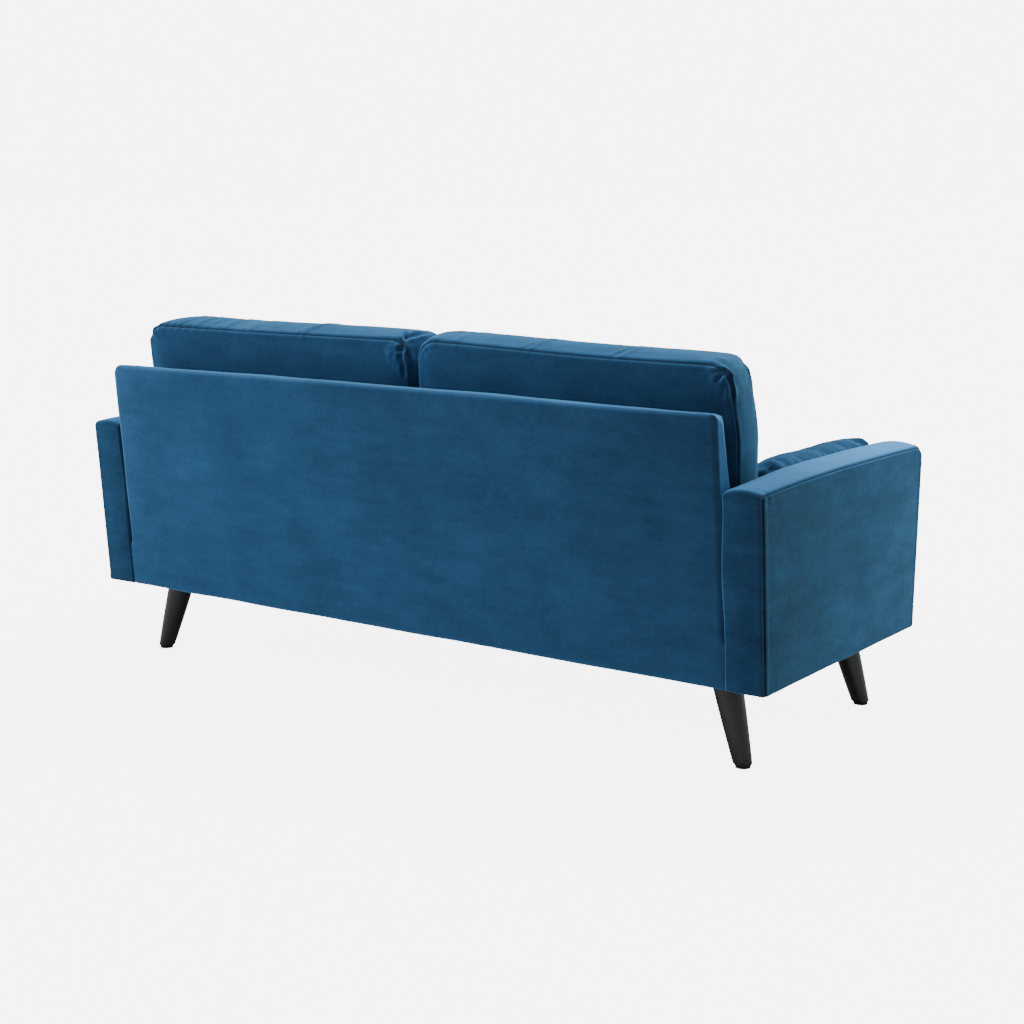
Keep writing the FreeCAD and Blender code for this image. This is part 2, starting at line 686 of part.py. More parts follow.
faults = [item.Name for item in doc.Objects if "Invalid" in item.State or "Error" in item.State]
faults += [item.Label for item in nodes if item.Shape.isNull() or not item.Shape.isValid()]
if faults:
    raise RuntimeError("these did not build: " + ", ".join(faults))
os.makedirs("parts", exist_ok=True)
for item in nodes:
    item.Shape.exportStep(os.path.join("parts", item.Label + ".step"))
print(len(nodes), "sub-parts written")
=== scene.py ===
import json
import math

import bpy
import bmesh
import numpy as np
from bpy.props import FloatProperty, FloatVectorProperty, IntProperty, PointerProperty
from mathutils import Matrix, Vector, noise
from mathutils.bvhtree import BVHTree
from mathutils.kdtree import KDTree


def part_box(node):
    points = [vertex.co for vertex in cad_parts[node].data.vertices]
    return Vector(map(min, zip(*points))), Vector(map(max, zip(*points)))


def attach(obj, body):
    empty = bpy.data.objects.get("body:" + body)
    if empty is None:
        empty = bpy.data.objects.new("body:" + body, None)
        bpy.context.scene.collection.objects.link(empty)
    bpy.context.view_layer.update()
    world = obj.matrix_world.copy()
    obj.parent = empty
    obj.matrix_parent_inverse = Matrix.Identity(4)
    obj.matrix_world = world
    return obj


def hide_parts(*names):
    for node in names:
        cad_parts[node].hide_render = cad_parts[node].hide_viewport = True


bl_info = {
    "name": "Velvet Sofa",
    "version": (1, 0, 0),
    "blender": (4, 5, 0),
    "location": "View3D > Sidebar > Sofa",
    "description": "Upholsters a two-seat sofa around its packed frame",
    "category": "Add Mesh",
}

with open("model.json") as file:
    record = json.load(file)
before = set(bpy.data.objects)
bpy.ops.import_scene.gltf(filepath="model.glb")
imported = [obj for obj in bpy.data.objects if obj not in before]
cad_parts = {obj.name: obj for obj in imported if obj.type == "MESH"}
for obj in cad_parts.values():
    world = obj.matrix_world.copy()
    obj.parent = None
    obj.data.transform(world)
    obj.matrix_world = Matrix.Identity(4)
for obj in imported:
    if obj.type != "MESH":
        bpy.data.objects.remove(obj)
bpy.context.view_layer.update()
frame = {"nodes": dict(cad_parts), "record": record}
FRAME_BODY = "sofa_frame"
SLOTS = {part["node"]: part["material_slot"] for part in frame["record"]["subparts"]}
SIDES = {"left": 1, "right": -1}
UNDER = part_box("front_border")[0].z


# ---- what a user would change ------------------------------------------------------------------

def length(text, default):
    """A length in metres, shown with its unit."""
    return FloatProperty(description=text, default=default, unit="LENGTH", precision=4)


def colour(text, default):
    """A linear colour."""
    return FloatVectorProperty(description=text, default=default, subtype="COLOR", min=0.0, max=1.0)


class SofaVelvet(bpy.types.PropertyGroup):
    """The velvet of every cover."""
    # deep and brushed are also the two ends of the painted light and shade laid on whole faces
    deep: colour("Colour where the pile lies away from the light", (0.0110, 0.047, 0.116))
    brushed: colour("Colour where the pile is stroked the other way", (0.0430, 0.154, 0.352))
    sheen: colour("Tint of the light caught by the pile's tips", (0.24, 0.66, 1.0))
    patch: length("Width of the soft stroked patches", 0.16)
    pile: length("Height of the pile's fine relief", 0.0004)


class SofaSewing(bpy.types.PropertyGroup):
    """Seams and stitches."""
    groove: length("How far a seam sinks between the two panels", 0.0026)
    width: length("Half width of the groove", 0.0030)
    pucker: length("Height of the small gathers beside a seam", 0.0012)
    stitch: length("From one stitch to the next", 0.0052)
    thread: length("Radius of the thread", 0.00035)


class SofaArms(bpy.types.PropertyGroup):
    """The fitted arm covers."""
    crown: length("How far the middle of the arm's top stands above its seams", 0.0095)
    rear_dip: length("How far the top falls towards the back", 0.011)
    front_dip: length("How far the top falls towards the front", 0.004)
    nose: length("Radius of the top front corner, seen from the side", 0.026)
    heel: length("Radius of the top rear corner, seen from the side", 0.011)
    foot: length("Radius of the bottom corners, seen from the side", 0.006)
    edge: length("Radius of the sewn edges", 0.0065)
    rear_inner: length("Distance from the middle to the arm's inner edge at the rear", 0.8285)
    swell: length("Bulge of the flat sides", 0.004)


class SofaBack(bpy.types.PropertyGroup):
    """The fitted backrest cover."""
    crown: length("How far the middle of the top line stands above its ends", 0.005)
    corner: length("Radius of the top left corner, seen from behind", 0.024)
    tight_corner: length("Radius of the top right corner, seen from behind", 0.014)
    slope: length("How far the top falls towards the front", 0.0125)
    bow: length("How far the back panel bows out behind its side edges", 0.025)
    foot: length("Radius of the bottom corners, seen from behind", 0.007)
    edge: length("Radius of the soft edges", 0.012)
    swell: length("Bulge of the back panel", 0.006)


class SofaCushions(bpy.types.PropertyGroup):
    """The loose cushions and pillows."""
    pressure: FloatProperty(description="How hard the filling pushes the cover out", default=4.0)
    back_cap: length("The most that a back cushion swells", 0.024)
    seat_cap: length("The most that a seat cushion swells", 0.022)
    back_rise: length("How far the swollen top stands above its pattern", 0.016)
    band_crown: length("How far a back cushion's top band stands above its seams", 0.008)
    steps: IntProperty(description="Cloth steps to run for each cushion", default=20, min=2)
    edge: length("Radius of the sewn edges", 0.013)
    corner: length("Radius of a seat cushion's corners", 0.034)
    round: length("Radius of a back cushion's corners", 0.050)
    draw: length("How far a back cushion's outer side is drawn in at the front", 0.022)


class SofaStage(bpy.types.PropertyGroup):
    """Floor, light and camera."""
    azimuth: FloatProperty(description="Where the camera stands, in degrees", default=215.53)
    elevation: FloatProperty(description="How far the camera looks down, in degrees", default=10.37)
    distance: length("From the camera to what it aims at", 3.9)
    aim: FloatVectorProperty(description="What the camera aims at", default=(-0.2482, 0.2247, 0.4606),
                             subtype="TRANSLATION")
    lens: FloatProperty(description="Focal length in millimetres", default=63.7)
    key: FloatProperty(description="Strength of the overhead light", default=2.6)
    side: FloatProperty(description="Strength of the soft light from behind", default=0.8)
    sky: FloatProperty(description="Strength of the light from all round", default=0.5)
    backdrop: FloatProperty(description="How bright the backdrop looks", default=6.8)


GROUPS = {
    "sofa_velvet": SofaVelvet,
    "sofa_sewing": SofaSewing,
    "sofa_arms": SofaArms,
    "sofa_back": SofaBack,
    "sofa_cushions": SofaCushions,
    "sofa_stage": SofaStage,
}


# ---- shader helpers -----------------------------------------------------------------------------

BLACK = (0.0, 0.0, 0.0, 1.0)
SOCKET_KINDS = {tuple: "NodeSocketColor", float: "NodeSocketFloat", type(None): "NodeSocketVector"}


def give(tree, socket, value):
    """Feed an input from an output, a number, a vector or a colour."""
    if isinstance(value, bpy.types.NodeSocket):
        tree.links.new(value, socket)
    elif socket.type == "RGBA":
        socket.default_value = (*value[:3], 1.0)
    else:
        socket.default_value = value


def feed(tree, node, **values):
    """Give a node's own settings and its inputs by name."""
    for name, value in values.items():
        if hasattr(node, name):
            setattr(node, name, value)
        else:
            give(tree, node.inputs[name.replace("_", " ")], value)
    return node


def add(tree, kind, **values):
    """A new node with its settings and inputs."""
    return feed(tree, tree.nodes.new(kind), **values)


def new_group(name, inputs, outputs):
    """An empty shader group with named sockets, and its two end nodes."""
    tree = bpy.data.node_groups.new(name, "ShaderNodeTree")
    for title, value in inputs.items():
        socket = tree.interface.new_socket(title, in_out="INPUT", socket_type=SOCKET_KINDS[type(value)])
        if value is not None:
            socket.default_value = value
    for title in outputs:
        kind = "NodeSocketColor" if title == "Colour" else "NodeSocketFloat"
        tree.interface.new_socket(title, in_out="OUTPUT", socket_type=kind)
    return tree, add(tree, "NodeGroupInput"), add(tree, "NodeGroupOutput")


def noise_of(tree, vector, scale, detail=2.0, rough=0.5, stretch=None):
    """A noise mask on a vector, with the vector stretched first where asked."""
    if stretch:
        vector = add(tree, "ShaderNodeMapping", Scale=stretch, Vector=vector).outputs[0]
    node = add(tree, "ShaderNodeTexNoise", Vector=vector, Scale=scale, Detail=detail, Roughness=rough)
    return node.outputs["Fac"]


def maths(tree, operation, *values):
    """One step of arithmetic on outputs or numbers."""
    node = add(tree, "ShaderNodeMath", operation=operation)
    for socket, value in zip(node.inputs, values):
        give(tree, socket, value)
    return node.outputs[0]


def weighted(tree, *terms):
    """The sum of some masks, each times its weight."""
    parts = [maths(tree, "MULTIPLY", mask, weight) for mask, weight in terms]
    total = parts[0]
    for part in parts[1:]:
        total = maths(tree, "ADD", total, part)
    return total


def spread(tree, value, low, high, to_low=0.0, to_high=1.0):
    """Map a range onto another, held at its ends."""
    return add(tree, "ShaderNodeMapRange", Value=value, From_Min=low, From_Max=high, To_Min=to_low,
               To_Max=to_high).outputs["Result"]


def blend_colours(tree, factor, a, b, clamp=True):
    """A mix of two colours."""
    node = add(tree, "ShaderNodeMix", data_type="RGBA", clamp_factor=clamp)
    for index, value in ((0, factor), (6, a), (7, b)):
        give(tree, node.inputs[index], value)
    return node.outputs[2]


def scaled(tree, tint, by):
    """A colour made lighter or darker."""
    node = add(tree, "ShaderNodeVectorMath", operation="SCALE", Scale=by)
    give(tree, node.inputs[0], tint)
    return node.outputs[0]


def pile_group():
    """Stroked velvet pile: soft patches, strokes, tufts and flecks, with painted shade in its seams, and painted
    light and shade laid on whole faces by which way they face, read from a per-point input.
    """
    tree, start, end = new_group(
        "brushed_pile",
        {"Position": None, "Deep": BLACK, "Brushed": BLACK, "Patch Size": 0.16, "Seam": 0.0, "Nap": 0.0},
        ("Colour", "Roughness", "Height"))
    place = start.outputs["Position"]
    patches = noise_of(tree, place, maths(tree, "DIVIDE", 1.0, start.outputs["Patch Size"]), 3.0, 0.55)
    strokes = noise_of(tree, place, 9.0, 4.0, 0.6, (1.0, 1.0, 3.2))
    mottle = noise_of(tree, place, 90.0, 3.0, 0.65)
    tufts = noise_of(tree, place, 900.0, 2.0, 0.7)
    flecks = noise_of(tree, place, 330.0, 1.0, 0.5)
    # painted light and shade: the per-face light input is added to the brushing mask, pushing lit faces towards the
    # brushed colour and shaded faces towards the deep one
    mask = weighted(tree, (spread(tree, patches, 0.36, 0.66), 0.17), (spread(tree, strokes, 0.34, 0.68), 0.20),
                    (spread(tree, mottle, 0.30, 0.72), 0.16), (tufts, 0.14), (start.outputs["Nap"], 0.5),
                    (spread(tree, flecks, 0.69, 0.76), 0.16))
    mask = maths(tree, "ADD", mask, 0.14)
    # painted shade: where the mask falls below zero the colour is darkened further, down to 0.35 of itself
    away = spread(tree, mask, -0.30, 0.05, 0.35, 1.0)
    mask = maths(tree, "MAXIMUM", mask, 0.0)
    shade = blend_colours(tree, mask, start.outputs["Deep"], start.outputs["Brushed"], clamp=False)
    # painted shade: the colour is darkened towards near black down in the seam grooves
    dark = maths(tree, "MULTIPLY", start.outputs["Seam"], 0.72)
    feed(tree, end, Colour=scaled(tree, blend_colours(tree, dark, shade, (0.003, 0.010, 0.020)), away),
         Roughness=spread(tree, mask, 0.0, 1.0, 0.96, 0.80),
         Height=weighted(tree, (tufts, 0.65), (mottle, 0.35)))
    return tree


def grain_group():
    """Straight wood grain: long streaks with finer pores."""
    tree, start, end = new_group("wood_grain", {"Position": None, "Light": BLACK, "Dark": BLACK},
                                 ("Colour", "Mask", "Height"))
    place = start.outputs["Position"]
    streaks = noise_of(tree, place, 34.0, 5.0, 0.6, (0.12, 1.0, 0.35))
    pores = noise_of(tree, place, 420.0, 3.0, 0.6, (0.05, 1.0, 0.2))
    mask = weighted(tree, (spread(tree, streaks, 0.3, 0.7), 0.7), (pores, 0.3))
    feed(tree, end, Mask=mask, Height=pores,
         Colour=blend_colours(tree, mask, start.outputs["Light"], start.outputs["Dark"]))
    return tree


def speckle_group():
    """Fine irregular speckle for foam, wadding, metal and plastic."""
    tree, start, end = new_group(
        "speckle",
        {"Position": None, "Light": BLACK, "Dark": BLACK, "Scale": 300.0, "Rough Low": 0.4, "Rough High": 0.6},
        ("Colour", "Roughness", "Height"))
    place = start.outputs["Position"]
    fine = noise_of(tree, place, start.outputs["Scale"], 4.0, 0.65)
    mask = weighted(tree, (spread(tree, fine, 0.3, 0.7), 0.7), (noise_of(tree, place, 14.0), 0.3))
    feed(tree, end, Height=fine, Roughness=spread(tree, mask, 0.0, 1.0, start.outputs["Rough Low"],
                                                  start.outputs["Rough High"]),
         Colour=blend_colours(tree, mask, start.outputs["Light"], start.outputs["Dark"]))
    return tree


def weave_group():
    """A plain weave of crossing threads."""
    tree, start, end = new_group("plain_weave", {"Position": None, "Light": BLACK, "Dark": BLACK, "Thread": 0.001},
                                 ("Colour", "Height"))
    split = add(tree, "ShaderNodeSeparateXYZ", Vector=start.outputs["Position"])
    turns = maths(tree, "DIVIDE", math.pi, start.outputs["Thread"])
    across, along = (maths(tree, "SINE", maths(tree, "MULTIPLY", split.outputs[axis], turns)) for axis in "XY")
    woven = spread(tree, maths(tree, "MULTIPLY", across, along), -1.0, 1.0)
    mask = weighted(tree, (woven, 0.5), (noise_of(tree, start.outputs["Position"], 220.0, 4.0, 0.6), 0.5))
    feed(tree, end, Height=mask, Colour=blend_colours(tree, mask, start.outputs["Light"], start.outputs["Dark"]))
    return tree


MADE_GROUPS = {}
MADE_MATERIALS = {}
GROUP_MAKERS = {
    "brushed_pile": pile_group,
    "wood_grain": grain_group,
    "speckle": speckle_group,
    "plain_weave": weave_group,
}


def place_group(tree, name, **values):
    """Put a shared group in a material, read at the object's own position."""
    if name not in MADE_GROUPS:
        MADE_GROUPS[name] = GROUP_MAKERS[name]()
    node = add(tree, "ShaderNodeGroup", node_tree=MADE_GROUPS[name])
    return feed(tree, node, Position=add(tree, "ShaderNodeTexCoord").outputs["Object"], **values)


def material_from(title, group, relief, rough=None, metallic=0.0, **values):
    """A material from a shared group, with its tree, shader and group node. Its roughness is one value, or two spread
    over the group's mask, or else the group's own."""
    made = bpy.data.materials.new(title)
    made.use_nodes = True
    tree = made.node_tree
    shader = tree.nodes["Principled BSDF"]
    node = place_group(tree, group, **values)
    if rough is None:
        rough = node.outputs["Roughness"]
    elif isinstance(rough, tuple):
        rough = spread(tree, node.outputs["Mask"], 0.0, 1.0, *rough)
    relief = add(tree, "ShaderNodeBump", Distance=relief, Strength=1.0, Height=node.outputs["Height"])
    feed(tree, shader, Base_Color=node.outputs["Colour"], Roughness=rough, Metallic=metallic,
         Normal=relief.outputs["Normal"])
    return made, tree, shader, node


def velvet():
    """Blue velvet with a stroked pile, with painted shade down in its seams and a painted sheen: its base colour
    darker where it faces the eye and lighter towards grazing view.
    """
    look = bpy.context.scene.sofa_velvet
    made, tree, shader, pile = material_from("blue_velvet", "brushed_pile", look.pile, Deep=tuple(look.deep),
                                             Brushed=tuple(look.brushed), Patch_Size=look.patch)
    for title, attribute in (("Seam", "seam_shade"), ("Nap", "nap")):
        give(tree, pile.inputs[title], add(tree, "ShaderNodeAttribute", attribute_name=attribute).outputs["Fac"])
    # painted sheen: the base colour is scaled by how far the surface turns from the eye, 0.26 head-on up to 1.65 at
    # grazing view
    facing = add(tree, "ShaderNodeLayerWeight", Blend=0.5).outputs["Facing"]
    sheen_painted_colour = scaled(tree, pile.outputs["Colour"], spread(tree, facing, 0.0, 0.85, 0.26, 1.65))
    feed(tree, shader, Base_Color=sheen_painted_colour, Sheen_Weight=0.75, Sheen_Roughness=0.38, Sheen_Tint=tuple(look.sheen),
         Specular_IOR_Level=0.12)
    return made


def painted_leg():
    """Black satin paint over turned wood, with the grain just telegraphing through."""
    made, tree, shader, grain = material_from("black_satin_paint", "wood_grain", 0.00008, (0.34, 0.46),
                                              Light=(0.0028, 0.0027, 0.0029), Dark=(0.0052, 0.0050, 0.0054))
    place = grain.inputs["Position"].links[0].from_socket
    upright = add(tree, "ShaderNodeMapping", Rotation=(0.0, math.radians(90), 0.0), Vector=place)
    feed(tree, grain, Position=upright.outputs[0])
    feed(tree, shader, Coat_Weight=0.15, Coat_Roughness=0.22)
    return made


# Speckled materials: name, light and dark colours, speckles per metre, roughness from and to, metallic, relief.
SPECKLED = {
    "steel": ("zinc_plate", (0.62, 0.62, 0.60), (0.45, 0.45, 0.44), 380.0, 0.28, 0.48, 1.0, 0.0003),
    "spring": ("spring_wire", (0.16, 0.16, 0.17), (0.09, 0.09, 0.10), 500.0, 0.3, 0.5, 1.0, 0.0003),
    "foam": ("seat_foam", (0.80, 0.76, 0.60), (0.66, 0.60, 0.44), 520.0, 0.9, 1.0, 0.0, 0.0008),
    "wadding": ("white_wadding", (0.86, 0.86, 0.84), (0.70, 0.70, 0.68), 160.0, 0.95, 1.0, 0.0, 0.002),
    "board": ("fibre_board", (0.38, 0.27, 0.17), (0.26, 0.18, 0.11), 260.0, 0.8, 0.92, 0.0, 0.0003),
    "clip": ("clip_plastic", (0.58, 0.58, 0.55), (0.50, 0.50, 0.48), 300.0, 0.45, 0.6, 0.0, 0.0003),
    "glide": ("glide_plastic", (0.020, 0.020, 0.021), (0.012, 0.012, 0.013), 420.0, 0.45, 0.65, 0.0, 0.0003),
    "zip": ("zip_tape", (0.020, 0.060, 0.105), (0.011, 0.036, 0.066), 900.0, 0.55, 0.75, 0.0, 0.0003),
    "thread": ("sewing_thread", (0.018, 0.072, 0.125), (0.010, 0.040, 0.075), 1500.0, 0.6, 0.8, 0.0, 0.0003),
}


def finish_of(name):
    """The material of that name, made the first time it is asked for."""
    if name not in MADE_MATERIALS:
        if name == "velvet":
            made = velvet()
        elif name == "leg":
            made = painted_leg()
        elif name == "timber":
            made = material_from("planed_timber", "wood_grain", 0.0003, (0.62, 0.78), Light=(0.50, 0.33, 0.18),
                                 Dark=(0.34, 0.20, 0.10))[0]
        elif name == "cloth":
            made = material_from("black_cambric", "plain_weave", 0.0003, 0.9, Light=(0.020, 0.020, 0.022),
                                 Dark=(0.009, 0.009, 0.010), Thread=0.0012)[0]
        else:
            title, light, dark, scale, low, high, metallic, relief = SPECKLED[name]
            made = material_from(title, "speckle", relief, metallic=metallic, Light=light, Dark=dark, Scale=scale,
                                 Rough_Low=low, Rough_High=high)[0]
        MADE_MATERIALS[name] = made
    return MADE_MATERIALS[name]


# ---- meshes and objects -------------------------------------------------------------------------

def put_values(mesh, name, values):
    """Give each point of a mesh a number."""
    mesh.attributes.new(name, "FLOAT", "POINT").data.foreach_set("value", values.astype(np.float32))


def mesh_of(name, made):
    """The mesh of some finished bmesh work."""
    mesh = bpy.data.meshes.new(name)
    made.to_mesh(mesh)
    made.free()
    return mesh


def placed(name, mesh, *finishes):
    """A mesh's object, in the scene, with its materials."""
    for finish in finishes:
        mesh.materials.append(finish_of(finish))
    item = bpy.data.objects.new(name, mesh)
    bpy.context.scene.collection.objects.link(item)
    return item


def close_loops(made, loops):
    """Join rings of points one after another, and close both ends."""
    for one, two in zip(loops, loops[1:]):
        for j in range(len(one)):
            after = (j + 1) % len(one)
            made.faces.new((one[j], one[after], two[after], two[j]))
    made.faces.new(loops[0][::-1])
    made.faces.new(loops[-1])


def thickened(item, thickness):
    """A sheet given its thickness on both sides."""
    solid = item.modifiers.new("Sheet", "SOLIDIFY")
    solid.thickness = thickness
    solid.offset = 0.0
    baked(item)
    item.data.shade_smooth()
    return item


def settle(item, body, slot, *replaced):
    """Set a piece on its body, in place of some CAD nodes. The slot is not used."""
    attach(item, body)
    if replaced:
        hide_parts(*replaced)


# ---- soft forms -----------------------------------------------------------------------------------

def grid_lines(half, near, step):
    """Positions from -half to half: close together near both ends, evenly stepped between."""
    near = [d for d in near if d < half * 0.98]
    inner = half - near[-1]
    count = max(2, int(math.ceil(2 * inner / step)))
    middle = np.linspace(-inner, inner, count + 1)
    ends = np.array(near[:-1])
    return np.concatenate([-half + ends, middle, half - ends[::-1]])


def box_grid(us, vs, ws):
    """The surface of a box as a grid of points and outward quads."""
    shape = (len(us), len(vs), len(ws))
    surface = np.zeros(shape, bool)
    for axis in range(3):
        for end in (0, -1):
            surface[tuple(end if a == axis else slice(None) for a in range(3))] = True
    index = -np.ones(shape, int)
    index[surface] = np.arange(surface.sum())
    i, j, k = np.nonzero(surface)
    points = np.stack([us[i], vs[j], ws[k]], 1)

    def quads(sheet, flip):
        made = np.stack([sheet[:-1, :-1], sheet[1:, :-1], sheet[1:, 1:], sheet[:-1, 1:]], -1).reshape(-1, 4)
        return made[:, ::-1] if flip else made

    faces = np.concatenate([
        quads(index[:, :, -1], False), quads(index[:, :, 0], True),
        quads(index[-1], False), quads(index[0], True),
        quads(index[:, -1, :], True), quads(index[:, 0, :], False),
    ])
    return points, faces


def boxed_form(half_u, half_v, half_w, edge, corners, step, seams=(1, -1), hem=False):
    """A boxed cushion form: two panels facing w, sewn to a band all round. Every sewn edge has one radius; the
    panels' corners have radii of their own (high v and high u, high v and low u, low v). With a hem, there is no
    seam along the low v edge. Gives points, faces, box coordinates, seam distance and seam paths."""
    rounds = [edge * k / 4 for k in range(5)]
    widest = max(*corners, edge * 1.01)
    turns = [edge + (widest - edge) * k / 4 for k in range(1, 5)]
    us = grid_lines(half_u, rounds + turns, step)
    vs = grid_lines(half_v, rounds + turns, step)
    ws = grid_lines(half_w, rounds, min(step, half_w * 0.4))
    box, faces = box_grid(us, vs, ws)
    u, v, w = np.abs(box).T
    du, dv, b = half_u - u, half_v - v, half_w - w
    turn = math.pi / 4 * (1 + np.clip(b / edge, 0, 1))
    lift = edge * (1 - np.sin(turn))
    du2 = np.where(du < edge, du + lift * (1 - du / edge), du)
    dv2 = np.where(dv < edge, dv + lift * (1 - dv / edge), dv)
    inside = np.minimum(du2, dv2)
    face = b < 1e-9
    drop_face = edge - np.sqrt(np.clip(edge ** 2 - np.clip(edge - inside, 0, edge) ** 2, 0, None))
    drop_band = np.where(b < edge, edge - edge * np.cos(turn), b)
    out = np.stack([half_u - du2, half_v - dv2, half_w - np.where(face, drop_face, drop_band)], 1)
    corner = np.where(box[:, 1] < 0, corners[2], np.where(box[:, 0] > 0, corners[0], corners[1]))
    past_u = out[:, 0] - (half_u - corner)
    past_v = out[:, 1] - (half_v - corner)
    both = (past_u > 0) & (past_v > 0)
    far = np.maximum(past_u, past_v) / np.maximum(np.hypot(past_u, past_v), 1e-12)
    out[both, 0] = (half_u - corner + past_u * far)[both]
    out[both, 1] = (half_v - corner + past_v * far)[both]
    points = out * np.where(box < 0, -1.0, 1.0)
    rim = np.minimum(du, np.where((box[:, 1] < 0) & hem, 9.0, dv))
    distance = np.full(len(box), 9.0)
    rings = []
    for side in seams:
        distance = np.minimum(distance, rim + np.abs(half_w - side * box[:, 2]))
        on = np.nonzero((np.abs(box[:, 2] - side * half_w) < 1e-9) & (rim < 1e-9))[0]
        around = (np.arctan2(box[on, 1] / half_v, box[on, 0] / half_u) + math.pi / 2) % (2 * math.pi)
        rings.append(on[np.argsort(around)])
    reach = 0.075
    crimp = smooth_step(u, half_u - reach, half_u) * smooth_step(v, half_v - reach, half_v)
    return {"points": points, "faces": faces, "box": box / (half_u, half_v, half_w), "seam": distance,
            "rings": rings, "closed": not hem, "crimp": crimp}


def smooth_step(value, low, high):
    """A soft 0 to 1 ramp."""
    t = np.clip((value - low) / (high - low), 0, 1)
    return t * t * (3 - 2 * t)


def ripple(points, scale, seed):
    """Smooth noise at each point, about -1 to 1."""
    shift = Vector((seed * 7.3, seed * 3.1, seed * 5.7))
    return np.array([noise.noise(Vector(p) * scale + shift) for p in points.tolist()]) * 1.6


def mesh_object(name, points, faces, seam):
    """A mesh in the row frame that carries each point's distance to its seam."""
    mesh = bpy.data.meshes.new(name)
    mesh.from_pydata(points.tolist(), [], faces.tolist())
    put_values(mesh, "seam_distance", seam)
    mesh.update()
    return placed(name, mesh)


def read_points(mesh, kind="co"):
    """A mesh's points as an array, or their normals."""
    flat = np.zeros(len(mesh.vertices) * 3, np.float32)
    mesh.vertices.foreach_get(kind, flat)
    return flat.reshape(-1, 3).astype(float)


def write_points(mesh, points):
    """Move a mesh's points."""
    mesh.vertices.foreach_set("co", points.astype(np.float32).ravel())
    mesh.update()


def baked(item):
    """Turn an object's modifiers into its plain mesh."""
    graph = bpy.context.evaluated_depsgraph_get()
    mesh = bpy.data.meshes.new_from_object(item.evaluated_get(graph))
    old = item.data
    item.modifiers.clear()
    item.data = mesh
    mesh.name = item.name
    bpy.data.meshes.remove(old)
    return item


def fit(item, low, high, axes=(0, 1, 2)):
    """Stretch a piece's mesh along some axes to fill a box."""
    points = read_points(item.data)
    least, most = points.min(0), points.max(0)
    for axis in axes:
        scale = (high[axis] - low[axis]) / (most[axis] - least[axis])
        points[:, axis] = low[axis] + (points[:, axis] - least[axis]) * scale
    write_points(item.data, points)


def fill(item, seams, pressure, cap, steps, loose=0.0):
    """Blow a cover up with cloth simulation between its seams, no point moving more than a cap."""
    held = item.vertex_groups.new(name="seams")
    held.add([int(point) for ring in seams for point in ring], 1.0, "REPLACE")
    scene = bpy.context.scene
    rest = read_points(item.data)
    cloth = item.modifiers.new("Filling", "CLOTH")
    for title, value in (("quality", 5), ("mass", 0.25), ("tension_stiffness", 12), ("compression_stiffness", 12),
                         ("shear_stiffness", 6), ("bending_stiffness", 0.6), ("vertex_group_mass", "seams"),
                         ("use_pressure", True), ("uniform_pressure_force", pressure), ("shrink_min", -loose)):
        setattr(cloth.settings, title, value)
    cloth.settings.effector_weights.gravity = 0
    cloth.collision_settings.use_collision = False
    cloth.point_cache.frame_start = 1
    cloth.point_cache.frame_end = steps
    for step in range(1, steps + 1):
        scene.frame_set(step)
    graph = bpy.context.evaluated_depsgraph_get()
    swollen = read_points(item.evaluated_get(graph).data)
    item.modifiers.clear()
    scene.frame_set(1)
    move = swollen - rest
    far = np.linalg.norm(move, axis=1, keepdims=True)
    write_points(item.data, rest + move * cap * np.tanh(far / cap) / np.maximum(far, 1e-9))
    return item


def seam_run(points, form, near):
    """For each point near a seam: how far along the seam it lies, and how crimped the seam is there."""
    run, crimp = np.zeros(len(points)), np.zeros(len(points))
    close = np.nonzero(near)[0]
    for ring in form["rings"]:
        line = points[ring]
        steps = np.linalg.norm(np.diff(line, axis=0, append=line[:1]), axis=1)
        length = np.concatenate([[0.0], np.cumsum(steps)])
        tree = KDTree(len(ring))
        for index, place in enumerate(line.tolist()):
            tree.insert(place, index)
        tree.balance()
        for point in close:
            place = points[point]
            _, index, gap = tree.find(place)
            if gap > 0.09:
                continue
            after = (index + 1) % len(ring)
            before = index - 1
            best = 9.0
            for one, two in ((index, after), (before % len(ring), index)):
                span = line[two] - line[one]
                t = min(max(float((place - line[one]) @ span / max(span @ span, 1e-12)), 0.0), 1.0)
                away = float(np.linalg.norm(place - line[one] - span * t))
                if away < best:
                    best = away
                    run[point] = length[one] + steps[one] * t
                    crimp[point] = lerp(form["crimp"][ring[one]], form["crimp"][ring[two]], t)
    return run, crimp


